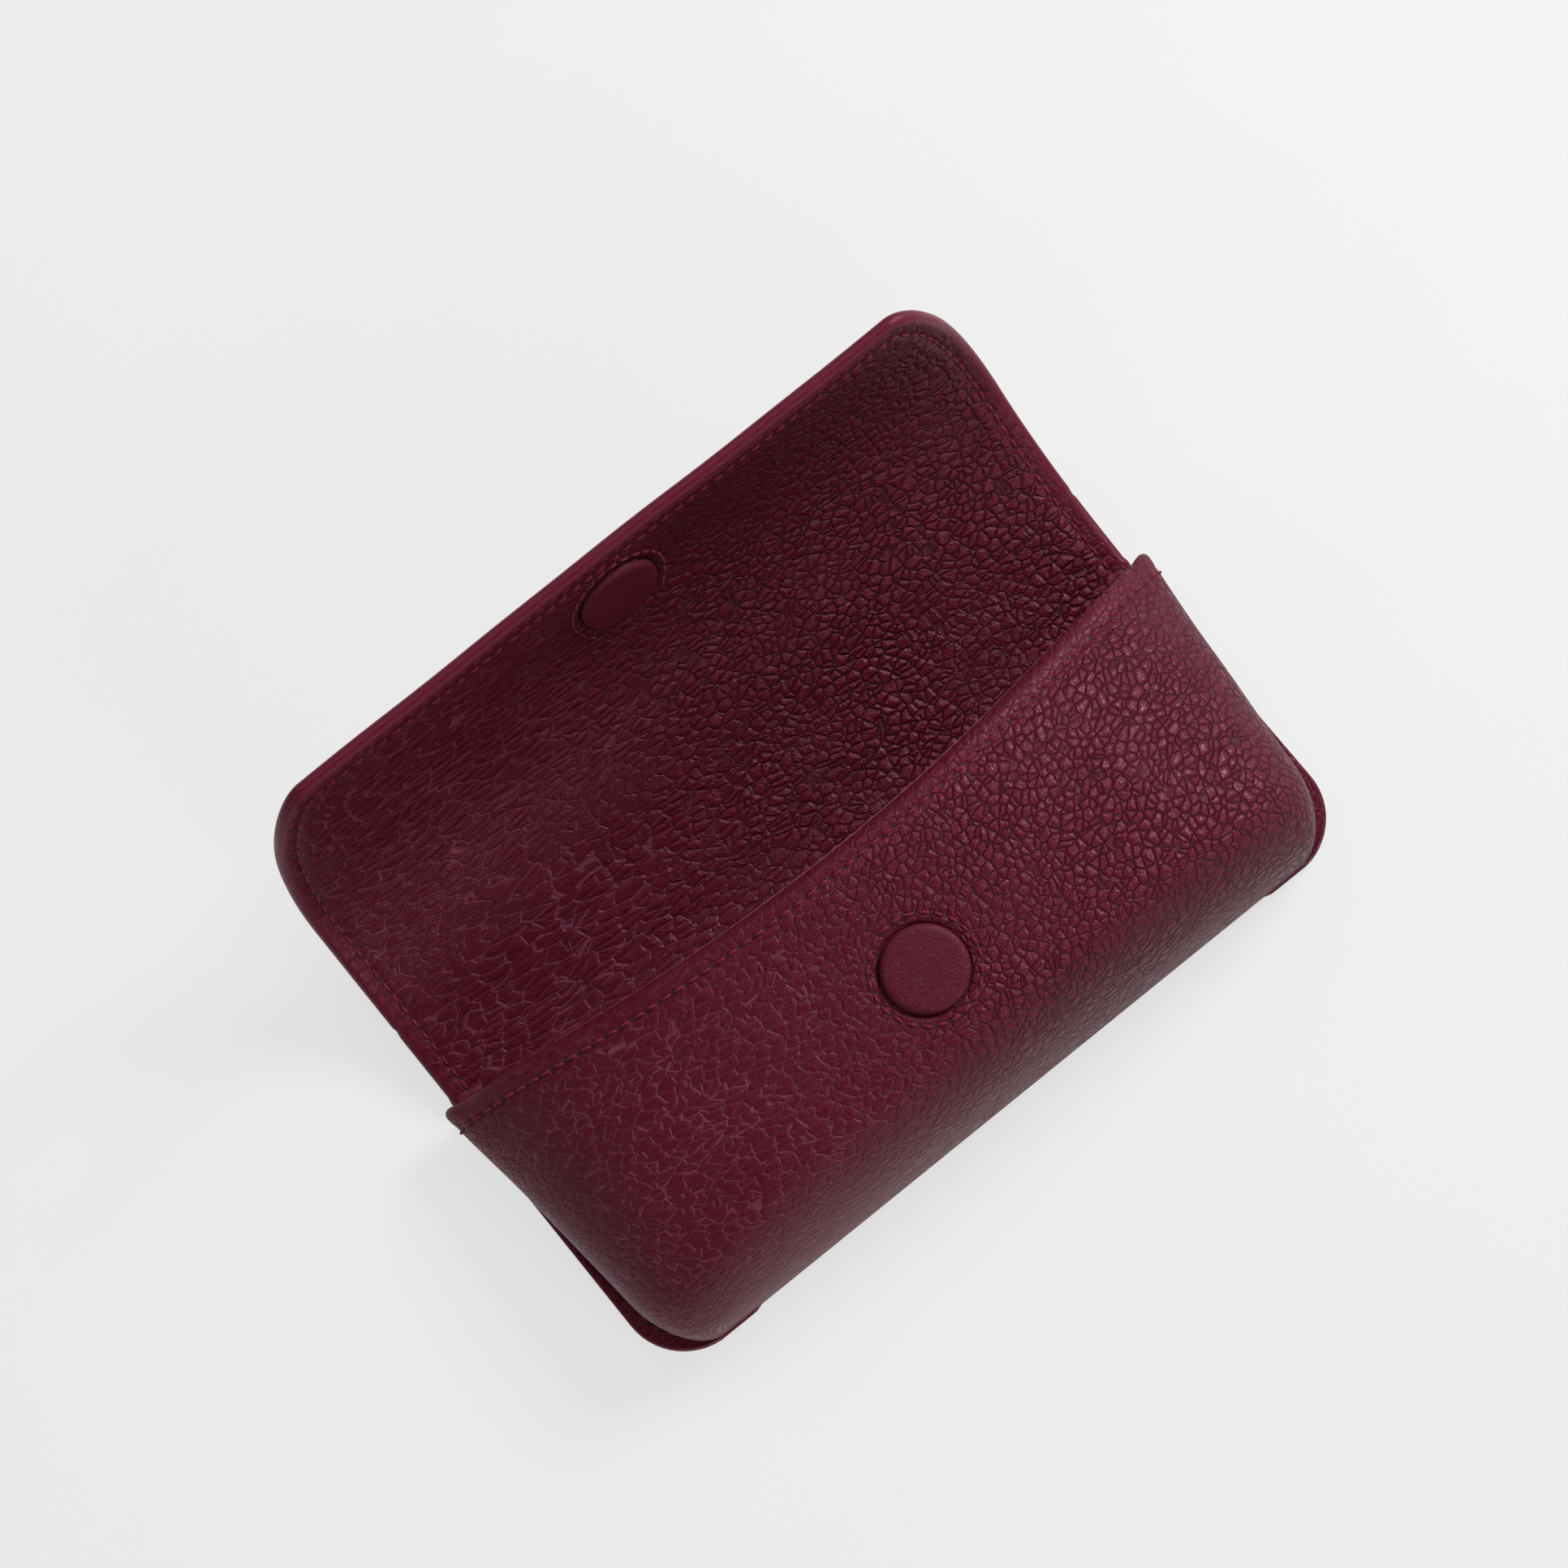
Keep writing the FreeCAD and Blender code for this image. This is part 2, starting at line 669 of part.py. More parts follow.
doc.recompute()
for item in doc.Objects:
    failed = [state for state in item.State if state in ("Invalid", "Error")]
    if failed:
        raise RuntimeError(f"{item.Label} failed: {item.State}")
for piece in PIECES:
    shape = piece.Shape
    if shape.isNull() or not shape.isValid() or not shape.Solids:
        raise RuntimeError(f"{piece.Label} has no valid solid")
    shape.exportStep(os.path.join("parts", f"{piece.Label}.step"))
    box = shape.optimalBoundingBox()
    print(
        f"{piece.Label:26s} solids {len(shape.Solids):3d} volume {shape.Volume:9.1f} "
        f"x {box.XMin:7.2f} {box.XMax:7.2f} y {box.YMin:7.2f} {box.YMax:7.2f} "
        f"z {box.ZMin:6.2f} {box.ZMax:6.2f}"
    )
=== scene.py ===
import math

import bpy
import numpy as np
from mathutils import Matrix, Vector
from mathutils.bvhtree import BVHTree


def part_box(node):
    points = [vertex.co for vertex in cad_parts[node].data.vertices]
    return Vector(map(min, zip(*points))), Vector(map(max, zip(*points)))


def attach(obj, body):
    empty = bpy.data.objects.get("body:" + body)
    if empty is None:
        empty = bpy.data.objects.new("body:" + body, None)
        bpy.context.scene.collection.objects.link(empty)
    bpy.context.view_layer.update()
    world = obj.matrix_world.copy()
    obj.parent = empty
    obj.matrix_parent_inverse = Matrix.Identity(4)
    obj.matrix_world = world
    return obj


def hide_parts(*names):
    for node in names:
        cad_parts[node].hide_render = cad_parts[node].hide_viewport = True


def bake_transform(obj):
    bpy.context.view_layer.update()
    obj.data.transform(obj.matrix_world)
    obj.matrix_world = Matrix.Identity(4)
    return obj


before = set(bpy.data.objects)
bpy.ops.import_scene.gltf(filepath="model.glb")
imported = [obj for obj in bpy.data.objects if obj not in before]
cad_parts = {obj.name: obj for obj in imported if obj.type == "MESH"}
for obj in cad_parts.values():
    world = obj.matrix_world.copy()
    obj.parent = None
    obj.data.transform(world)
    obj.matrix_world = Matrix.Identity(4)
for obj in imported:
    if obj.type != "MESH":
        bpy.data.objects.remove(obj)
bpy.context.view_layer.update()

# Soft pouch glasses case. Lengths are in millimetres until a mesh is made.
# Places on the back and flap are (x, place, depth): place runs from the bottom fold up the
# back and on along the flap's inside, and depth goes from the inside face out through it.

MM = 0.001
UV_UNIT = 100.0  # millimetres of leather to one unit of the pattern's map

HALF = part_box("back_panel")[1].x / MM
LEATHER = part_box("back_panel")[1].z / MM
BACK = 62.6
MOUTH = 61.0
WALL = 2.8
FOOT = 2 * LEATHER
CORNER = 12.0
FLANGE = 4.0
FRONT_DEPTH = 30.5
MOUTH_DEPTH = 36.0
MOUTH_SETBACK = 11.6
MOUTH_LIFT = 1.25
TIP_FLARE = 1.2
BOTTOM_ROUND = 14.0
FRONT_CORNER = 14.0
FRONT_CORNER_WIDTH = 8.0
ROUND_POWER = 2.4
WALL_BULGE = 0.6
MOUTH_BULGE = 6.0
BULGE_LEVEL = 6.5

SLOPE = 13.0
TURN = 66.0
START = 11.5
BEND = 56.0
REACH = START + BEND + 13.6
ROOT_SOFT = 3.0
LIP_CORNER = (13.3, 38.0)
LIP_POWER = 1.85

DISC_HEIGHT = 23.7
FLAP_DISC_PLACE = 65.3
HOLE = 8.7
COVER = 8.2
BRIM = 9.6
PROUD = 1.2
RING = 10.15
RING_COUNT = 24

HEM = 3.8
SEAM = 2.7
PITCH = 2.9
STITCH = 2.3
THREAD = 0.27
CUT = BACK + 18.0


def clamp01(value):
    return np.clip(value, 0.0, 1.0)


def smooth(value):
    value = clamp01(value)
    return value * value * (3 - 2 * value)


def unit(vectors):
    length = np.linalg.norm(vectors, axis=-1, keepdims=True)
    return vectors / np.maximum(length, 1e-9)


def marks(first, last, coarse, *zones):
    """Places from first to last a coarse step apart, or closer inside zones (low, high, step)."""
    places = [first]
    while places[-1] < last:
        here = places[-1]
        steps = [step for low, high, step in zones if low <= here < high]
        places.append(here + min(steps + [coarse]))
    places = np.array(places)
    return first + (places - first) * (last - first) / (places[-1] - first)


# ---- meshes ---------------------------------------------------------------------------

# The point attribute "hem" says how worked the leather is: 0 in the middle of a sheet,
# 1 along a sewn hem and ROLLED on an edge that is turned over.
ROLLED = 1.5


def make_piece(name, points, faces, uv, hem, material):
    """A mesh object from points in millimetres in the fold's frame, with its pattern map."""
    points = points.copy()
    points[:, 1] -= BACK / 2
    mesh = bpy.data.meshes.new(name)
    mesh.from_pydata((points * MM).tolist(), [], faces)
    layer = mesh.uv_layers.new(name="leather")
    corners = np.zeros(len(mesh.loops), np.int32)
    mesh.loops.foreach_get("vertex_index", corners)
    layer.data.foreach_set("uv", (uv[corners] / UV_UNIT).astype(np.float32).ravel())
    value = mesh.attributes.new("hem", "FLOAT", "POINT")
    value.data.foreach_set("value", hem.astype(np.float32))
    mesh.polygons.foreach_set("use_smooth", [True] * len(mesh.polygons))
    mesh.set_sharp_from_angle(angle=math.radians(50))
    mesh.materials.append(material)
    piece = bpy.data.objects.new(name, mesh)
    bpy.context.scene.collection.objects.link(piece)
    return piece


def half_round(bulge, steps=6):
    """An edge's profile from face to face: how far out, and what share of the thickness in."""
    turns = np.linspace(0, math.pi, steps + 1)[1:-1]
    return np.stack([bulge * np.sin(turns) ** 0.8, (1 - np.cos(turns)) / 2], -1)


def shell(name, outer, inner, uv, hem, material, kept=None, rim=None):
    """A closed sheet between two grids of points, with a rounded rim round every border."""
    rows, cols = outer.shape[:2]
    count = rows * cols
    index = np.arange(count).reshape(rows, cols)
    quads = np.stack([index[:-1, :-1], index[:-1, 1:], index[1:, 1:], index[1:, :-1]], -1)
    quads = quads[np.ones((rows - 1, cols - 1), bool) if kept is None else kept]
    outer, inner, uv = outer.reshape(-1, 3), inner.reshape(-1, 3), uv.reshape(-1, 2)
    hem = hem.reshape(-1)
    directed = np.concatenate([quads[:, [k, (k + 1) % 4]] for k in range(4)])
    forward = directed[:, 0] * count + directed[:, 1]
    backward = directed[:, 1] * count + directed[:, 0]
    border = directed[~np.isin(forward, backward)]
    rim_ids = np.unique(border)
    along = np.zeros((count, 3))
    along_uv = np.zeros((count, 2))
    for end in (0, 1):
        np.add.at(along, border[:, end], outer[border[:, 1]] - outer[border[:, 0]])
        np.add.at(along_uv, border[:, end], uv[border[:, 1]] - uv[border[:, 0]])
    through = (outer - inner)[rim_ids]
    out = unit(np.cross(unit(along[rim_ids]), unit(through)))
    out_uv = unit(along_uv[rim_ids])[:, ::-1] * np.array([1.0, -1.0])
    profile = half_round(0.5) if rim is None else rim(rim_ids)
    if profile.ndim == 2:
        profile = np.repeat(profile[:, None, :], len(rim_ids), axis=1)
    ring_points, ring_uv = [], []
    walked = np.zeros(len(rim_ids))
    last = np.zeros((len(rim_ids), 2))
    thick = np.linalg.norm(through, axis=-1)
    for level in profile:
        step = np.hypot(level[:, 0] - last[:, 0], (level[:, 1] - last[:, 1]) * thick)
        walked = walked + step
        last = level
        ring_points.append(outer[rim_ids] - through * level[:, 1:] + out * level[:, :1])
        ring_uv.append(uv[rim_ids] + out_uv * walked[:, None])
    levels = len(profile)
    slot_of = np.full(count, -1)
    slot_of[rim_ids] = np.arange(len(rim_ids))
    chains = [border]
    for level in range(levels):
        chains.append(2 * count + level * len(rim_ids) + slot_of[border])
    chains.append(border + count)
    faces = [quads, quads[:, ::-1] + count]
    for high, low in zip(chains, chains[1:]):
        faces.append(np.stack([high[:, 1], high[:, 0], low[:, 0], low[:, 1]], -1))
    points = np.concatenate([outer, inner] + ring_points)
    maps = np.concatenate([uv, uv] + ring_uv)
    hems = np.concatenate([hem, hem] + [np.full(len(rim_ids), ROLLED)] * levels)
    faces = np.concatenate(faces)
    used, renumbered = np.unique(faces, return_inverse=True)
    faces = renumbered.reshape(faces.shape).tolist()
    return make_piece(name, points[used], faces, maps[used], hems[used], material)


def flat_size(uv, kept=None):
    """The width, length and area, in metres, of a grid's leather laid out flat."""
    a, b, c, d = uv[:-1, :-1], uv[:-1, 1:], uv[1:, 1:], uv[1:, :-1]
    one, two = c - a, d - b
    areas = np.abs(one[..., 0] * two[..., 1] - one[..., 1] * two[..., 0]) / 2
    area = areas.sum() if kept is None else areas[kept].sum()
    width, length = np.ptp(uv[..., 0]), np.ptp(uv[..., 1])
    return width * MM, length * MM, area * MM * MM


# ---- the moulded front ------------------------------------------------------------------


def ease(part, power):
    """A quarter of a superellipse: 0 at 0 with an upright start, 1 at 1 and beyond."""
    return (1 - (1 - clamp01(part)) ** power) ** (1 / power)


def arch_sizes(base, inset):
    """Half widths, bulge level and top of the front's arch at a height above the fold."""
    depth = base - inset
    share = base / MOUTH
    rounding = FRONT_CORNER - inset / 2
    narrowing = 1 - math.sqrt(max(1 - max(1 - depth / rounding, 0.0) ** 2, 0.0))
    plan = HALF - FLANGE - inset - (FRONT_CORNER_WIDTH - inset / 2) * narrowing
    rise = ease(depth / BOTTOM_ROUND, ROUND_POWER)
    bulge = WALL_BULGE + (MOUTH_BULGE - WALL_BULGE) * share**1.1
    top = FRONT_DEPTH + (MOUTH_DEPTH - FRONT_DEPTH) * share
    return plan, plan + bulge * rise, FOOT + BULGE_LEVEL * rise, FOOT + (top - inset - FOOT) * rise


def lean(base, z):
    """How far a slice lies back towards the fold at a height out from the back."""
    share = np.maximum(base / MOUTH, 0.0)
    climb = clamp01((z - FOOT) / (FRONT_DEPTH + (MOUTH_DEPTH - FRONT_DEPTH) * share - FOOT))
    lift = MOUTH_LIFT * share**2 * 6.75 * climb * (1 - climb) ** 2
    return MOUTH_SETBACK * share**1.5 * climb**2.1 - lift


def slice_curve(base, inset):
    """One slice of the front's skin, from the left foot over the top to the right foot."""
    plan, widest, level, top = arch_sizes(base, inset)
    share = base / MOUTH
    across = 2.0 + (1 - share)
    upright = 1.4 + 1.6 * (1 - share)
    climb = np.linspace(0, 1, 16)[:-1]
    wall_x = plan + (widest - plan) * (1 - (1 - climb) ** 2)
    wall_z = FOOT + (level - FOOT) * climb
    turn = np.linspace(0, math.pi / 2, 241)
    arch_x = widest * np.cos(turn).clip(0) ** (2 / across)
    arch_z = level + (top - level) * np.sin(turn) ** (2 / upright)
    x = np.concatenate([wall_x, arch_x])
    z = np.concatenate([wall_z, arch_z])
    x = np.concatenate([-x, x[-2::-1]])
    z = np.concatenate([z, z[-2::-1]])
    return x, z


def by_length(x, z, shares):
    """Points at given shares of a curve's length, counted out from its middle."""
    run = np.concatenate([[0.0], np.cumsum(np.hypot(np.diff(x), np.diff(z)))])
    wanted = run[-1] * shares
    return np.interp(wanted, run, x), np.interp(wanted, run, z), wanted - run[-1] / 2


def dents(x, y):
    """The soft leather's slight unevenness, in millimetres."""
    wide = np.sin(x / 15.0 + y / 23.0 + 1.1) * np.sin(y / 14.0 - x / 41.0 + 0.4)
    narrow = np.sin(x / 7.1 - y / 9.7 + 2.0) * np.sin(y / 6.3 + x / 17.0)
    return 0.26 * wide + 0.1 * narrow


FLANGE_STEPS = 7
REFERENCE = 212.0  # length of skin from foot to foot, about half way up
skin_marks = marks(0, REFERENCE / 2, 0.9, (0, 12.5, 0.45), (98, 120, 0.6))
skin_shares = 0.5 + np.concatenate([-skin_marks[:0:-1], skin_marks]) / REFERENCE


def outline_half(height):
    """Half the width of the case's outline at a height above the fold."""
    missing = np.maximum(CORNER - height, 0.0)
    return HALF - CORNER + np.sqrt(np.maximum(CORNER**2 - missing**2, 0.0))


def front_row(base, inset, flange_level):
    """Points across the front at one height: left flange, skin, right flange; and their map's u."""
    x, z = slice_curve(base, inset)
    x, z, u = by_length(x, z, skin_shares)
    plan = x[-1]
    edge = max(float(outline_half(base)) - 0.5, plan + 0.05)
    strip = np.linspace(edge, plan, FLANGE_STEPS + 1)[:-1]
    level = np.full(FLANGE_STEPS, flange_level)
    z = z + (flange_level - FOOT) * smooth(1 - np.abs(z - FOOT) / 3.0)
    side = u[-1] + (strip - plan)
    x = np.concatenate([-strip, x, strip[::-1]])
    z = np.concatenate([level, z, level])
    u = np.concatenate([-side, u, side[::-1]])
    # the mouth's two tips turn out a little further than the rest
    flare = TIP_FLARE * smooth((np.abs(x) - 77.0) / 4.5) * smooth((base - 40.0) / 20.0)
    return np.stack([x + np.sign(x) * 0.5 * flare, base - lean(base, z) + flare, z], -1), u


ROLL = WALL / 2
BAND = 3.0
hem_base = MOUTH - HEM
turn_up = np.linspace(math.radians(2.5), math.pi / 2, 38)
bottom_bases = BOTTOM_ROUND * (1 - np.cos(turn_up) ** (2 / ROUND_POWER))
disc_zone = (15.0, 38.5, 0.5)
wall_bases = marks(BOTTOM_ROUND, MOUTH - ROLL, 0.85, disc_zone, (hem_base - 2, MOUTH, 0.45))
roll_turns = np.linspace(0, math.pi, 11)[1:]
band_bases = np.linspace(MOUTH - ROLL, MOUTH - ROLL - BAND, 6)[1:]
WRAP = 1.3
WRAP_ROWS = 7


def front_stations(depth):
    """Height, inset and flange level of each row, for the skin's face at a depth in the leather."""
    stations = []
    for base in np.concatenate([bottom_bases, wall_bases[1:]]):
        sunk = base + depth * (1 - base / (MOUTH - ROLL))
        thin = 0.5 * smooth((base - 50.0) / 9.0) * depth
        stations.append((sunk, depth, FOOT - depth + thin))
    for turn in roll_turns:
        radius = ROLL - depth
        level = FOOT - LEATHER / 2 * (1 - (1 - depth / LEATHER) * math.cos(turn))
        stations.append((MOUTH - ROLL + radius * math.sin(turn), ROLL - radius * math.cos(turn), level))
    for base in band_bases:
        stations.append((base, WALL - depth, FOOT - LEATHER + depth / 2))
    return stations


def front_grid(depth):
    """The front's points and their map's u, from under the bottom fold up and over the mouth."""
    rows, maps = [], []
    for base, inset, level in front_stations(depth):
        points, u = front_row(base, inset, level)
        rows.append(points)
        maps.append(u)
    first = rows[0]
    tucked = smooth((HALF - CORNER - np.abs(first[:, 0])) / 6.0)
    radius = WRAP - depth
    for turn in np.linspace(0, math.pi / 2, WRAP_ROWS):
        row = first.copy()
        under = WRAP - radius * math.sin(turn)
        side = WRAP - radius * math.cos(turn)
        plain = FOOT - LEATHER * (0.15 + 0.85 * turn / (math.pi / 2)) * (1 - 0.5 * depth / LEATHER)
        row[:, 2] = under * tucked + plain * (1 - tucked)
        row[:, 1] = side * tucked + first[:, 1] * (1 - tucked)
        rows.insert(0, row)
        maps.insert(0, maps[0])
    return np.array(rows), np.array(maps)


def lengthwise(points, anchor_row, anchor_value):
    """The map's v: length along each column, counted from one row."""
    steps = np.linalg.norm(np.diff(points, axis=0), axis=-1)
    run = np.concatenate([np.zeros((1, points.shape[1])), np.cumsum(steps, axis=0)])
    return run - run[anchor_row] + anchor_value


def push(points, amount):
    """Move a grid's points along its normals by amounts in millimetres."""
    across = np.gradient(points, axis=1)
    upward = np.gradient(points, axis=0)
    return points + unit(np.cross(across, upward)) * amount[..., None]


def disc_frame_front():
    """The front magnet's centre and axes: across, up and out."""
    bases = np.linspace(5, MOUTH, 600)
    tops = np.array([arch_sizes(base, 0)[3] for base in bases])
    heights = bases - lean(bases, tops)
    base = float(np.interp(DISC_HEIGHT, heights, bases))
    centre = np.array([0.0, DISC_HEIGHT, np.interp(base, bases, tops)])
    rise = np.interp(base + 1, bases, tops) - np.interp(base - 1, bases, tops)
    run = np.interp(base + 1, bases, heights) - np.interp(base - 1, bases, heights)
    up = unit(np.array([0.0, run, rise]))
    across = np.array([1.0, 0.0, 0.0])
    return centre, across, up, np.cross(across, up)


def disc_radius(points, disc):
    centre, across, up, out = disc
    local = points - centre
    radius = np.hypot(local @ across, local @ up)
    return np.where(np.abs(local @ out) < 8.0, radius, 1e3), np.arctan2(local @ up, local @ across)


def ring_relief(points, disc):
    """How a magnet's stitch ring and hole shape the leather round it, in millimetres."""
    radius, angle = disc_radius(points, disc)
    pull = 0.6 + 0.4 * np.cos(angle * RING_COUNT)
    seam = -0.26 * np.exp(-(((radius - RING) / 0.5) ** 2)) * pull
    shoulder = -0.3 * np.exp(-(((radius - HOLE) / 0.55) ** 2))
    plump = 0.12 * np.exp(-(((radius - 9.4) / 0.35) ** 2))
    return seam + shoulder + plump


def punch(outer, inner, disc):
    """Open a round hole in a sheet: its cells to keep, with the hole's border on the circle."""
    centre, across, up, out = disc
    radius, _ = disc_radius(outer, disc)
    inside = radius < HOLE
    gone = inside[:-1, :-1] & inside[:-1, 1:] & inside[1:, 1:] & inside[1:, :-1]
    near = np.zeros_like(inside)
    for rows in (slice(0, -1), slice(1, None)):
        for cols in (slice(0, -1), slice(1, None)):
            near[rows, cols] |= ~gone
    edge = inside & near
    for grid in (outer, inner):
        local = grid[edge] - centre
        flat = np.stack([local @ across, local @ up], -1)
        flat = unit(flat) * HOLE
        lift = local @ out
        grid[edge] = centre + flat[:, :1] * across + flat[:, 1:] * up + lift[:, None] * out
    return ~gone


def seam_relief(gap, along, depth=0.34, width=0.5):
    """The dent that a row of stitches pulls into leather, deeper at the needle holes."""
    pull = 0.62 + 0.38 * np.cos(2 * math.pi * along / PITCH)
    pucker = 0.05 * np.exp(-((gap / 1.9) ** 2)) * np.cos(2 * math.pi * along / PITCH)
    return -depth * np.exp(-((gap / width) ** 2)) * pull - pucker


FRONT_DISC = disc_frame_front()


def front_leather(material):
    outer, u = front_grid(0.0)
    inner, _ = front_grid(LEATHER)
    anchor = WRAP_ROWS + len(bottom_bases) + len(wall_bases) - 2
    v = lengthwise(outer, anchor, MOUTH - ROLL)
    uv = np.stack([u, v], -1)
    stations = np.array([(0.0, 0.0, 0.0)] * WRAP_ROWS + front_stations(0.0))
    bases, insets = stations[:, :1], stations[:, 1:2]
    skin = np.zeros(outer.shape[1])
    skin[FLANGE_STEPS:-FLANGE_STEPS] = 1.0
    lifted = smooth((outer[..., 2] - FOOT - 3.0) / 9.0) * (insets < ROLL)
    soft = dents(u, v) * lifted * smooth((MOUTH - bases) / 8.0)
    seam = seam_relief(bases - hem_base, u) * (insets < 0.1) * skin
    seam += 0.1 * np.exp(-(((bases - hem_base - 1.9) / 1.0) ** 2)) * skin
    relief = soft + seam + ring_relief(outer, FRONT_DISC)
    outer = push(outer, relief)
    inner = push(inner, soft * 0.9)
    kept = punch(outer, inner, FRONT_DISC)
    hem = np.maximum(smooth((bases - hem_base + 3.0) / 3.0), insets > 0.5) + 0 * u
    hem = np.where(insets > ROLL, ROLLED, hem)
    hem[:, :FLANGE_STEPS] = 0.8
    hem[:, -FLANGE_STEPS:] = 0.8
    piece = shell("front_leather", outer, inner, uv, hem, material, kept)
    return piece, flat_size(uv, kept)


LINING_SKIN = 0.9
LINING = 1.0
LINING_CORNER = 9.0
# Shifts of the pattern's map, so that no two sheets show the same stretch of it.
FRONT_LINING_MAP = 300.0
OUTSIDE_MAP = 600.0


def front_lining(material):
    bases = np.concatenate([bottom_bases[6:] + 2.6, marks(18.0, MOUTH - ROLL - BAND + 1.2, 1.2)])
    grids = []
    for inset in (WALL - 0.2 - LINING_SKIN, WALL - 0.2):
        rows = [front_row(base, inset, WALL + 0.05)[0] for base in bases]
        grids.append(np.array(rows)[:, FLANGE_STEPS:-FLANGE_STEPS])
    u = np.array([front_row(base, WALL, WALL)[1] for base in bases])[:, FLANGE_STEPS:-FLANGE_STEPS]
    uv = np.stack([u, lengthwise(grids[1], -1, MOUTH)], -1) + np.array([FRONT_LINING_MAP, 0.0])
    piece = shell("front_inside", grids[0], grids[1], uv, 0 * u, material)
    return piece, flat_size(uv)


# ---- the back and the flap ---------------------------------------------------------------

TABLE_STEP = 0.1
table_places = np.arange(-6.0, BACK + REACH + 6.0, TABLE_STEP)
turned = TURN * clamp01((table_places - BACK - START) / BEND)
table_angles = np.radians(SLOPE * clamp01((table_places - BACK + ROOT_SOFT) / (2 * ROOT_SOFT)) + turned)


def summed(values):
    """The running sum of slopes along the leather, 0 in the middle of the back."""
    middle = (values[1:] + values[:-1]) / 2
    total = np.concatenate([[0.0], np.cumsum(middle) * TABLE_STEP])
    return total - np.interp(BACK / 2, table_places, total)


table_y = summed(np.cos(table_angles)) + BACK / 2
table_z = summed(np.sin(table_angles)) + WALL


def sheet_points(x, place, depth):
    """Points of the back and flap from their place on the leather and depth through it."""
    y = np.interp(place, table_places, table_y)
    z = np.interp(place, table_places, table_z)
    angle = np.interp(place, table_places, table_angles)
    free = smooth((place - BACK - 4.0) / 14.0)
    depth = depth - dents(x, place * 1.1) * free
    return np.stack([x + 0 * y, y + depth * np.sin(angle), z - depth * np.cos(angle)], -1)


def flap_half(place, inset):
    """Half the width of the back's and flap's outline, a given inset inside its edge."""
    wide, deep = LIP_CORNER[0] - inset * 0.5, LIP_CORNER[1] - inset
    end = BACK + REACH - inset
    share = clamp01((place - end + deep) / deep)
    lip = HALF - inset - wide + wide * (1 - share**LIP_POWER).clip(0) ** (1 / LIP_POWER)
    return np.minimum(lip, outline_half(np.maximum(place - inset, 0.0)) - inset)


def flap_places(start, step, inset, *zones):
    """Rows from a start to the lip, closer together where the outline turns in."""
    end = BACK + REACH - inset
    tail = end - np.array([1.9, 1.25, 0.78, 0.42, 0.2, 0.07, 0.01])
    return np.concatenate([marks(start, end - 2.6, step, *zones), tail])


def across(place, inset, step, *zones):
    """A grid of x for each row: the same shares of the width on every row."""
    right = marks(0, HALF, step, *zones)
    shares = np.concatenate([-right[:0:-1], right]) / HALF
    return flap_half(place, inset)[:, None] * shares[None, :]


def outline_path(inset, first):
    """The flap's outline a given inset inside its edge, from the left root round to the right."""
    turn = np.linspace(0, math.pi / 2, 90)
    wide, deep = LIP_CORNER[0] - inset * 0.5, LIP_CORNER[1] - inset
    corner_x = HALF - inset - wide + wide * np.cos(turn).clip(0) ** (2 / LIP_POWER)
    corner_place = BACK + REACH - inset - deep + deep * np.sin(turn) ** (2 / LIP_POWER)
    side = np.linspace(first, corner_place[0], 60)[:-1]
    x = np.concatenate([np.full(len(side), HALF - inset), corner_x])
    place = np.concatenate([side, corner_place])
    middle = np.linspace(-x[-1], x[-1], 160)[1:-1]
    x = np.concatenate([-x, middle, x[::-1]])
    place = np.concatenate([place, np.full(len(middle), place[-1]), place[::-1]])
    return np.stack([x, place], -1)


def path_lengths(path):
    return np.concatenate([[0.0], np.cumsum(np.linalg.norm(np.diff(path, axis=0), axis=-1))])


def from_path(x, place, path):
    """Each point's distance from a path, and the length along it to the nearest point."""
    run = path_lengths(path)
    even = np.linspace(0, run[-1], int(run[-1] / 0.4))
    dense = np.stack([np.interp(even, run, path[:, k]) for k in (0, 1)], -1)
    gap = np.full(x.shape, 1e3)
    along = np.zeros(x.shape)
    for spot, (px, pp) in zip(even, dense):
        distance = np.hypot(x - px, place - pp)
        closer = distance < gap
        gap = np.where(closer, distance, gap)
        along = np.where(closer, spot, along)
    return gap, along


FLAP_SEAM = outline_path(HEM, BACK + 1.5)


def rolled_rim(weights, cols, meeting):
    """Leather turned over the flap's edge: out, round the edge and a little way back inside.

    weights says how far each row is turned over. Rows where two sheets meet keep a flat end.
    """
    full = WALL / LEATHER
    outward = []
    for turn in np.linspace(0, math.pi, 9)[1:]:
        bulge = 1.25 * math.sin(turn) ** 0.9 if turn < 3 else 0.0
        outward.append((bulge, full * (1 - math.cos(turn)) / 2))
    inward = [(-0.9, full), (-1.35, full * 0.93), (-1.3, full * 0.7), (-0.5, full * 0.6), (-0.2, 1.2)]
    hooked = np.array(outward + inward)
    share = np.linspace(0.05, 0.95, len(hooked))
    plain = np.stack([0.45 * np.sin(share * math.pi), share], -1)

    def profile(rim_ids):
        row, col = rim_ids // cols, rim_ids % cols
        weight = weights[row][None, :, None]
        levels = hooked[:, None, :] * weight + plain[:, None, :] * (1 - weight)
        butted = meeting[row] & (col > 0) & (col < cols - 1)
        levels[:, butted, 0] = 0.0
        levels[:, butted, 1] = share[:, None]
        return levels

    return profile


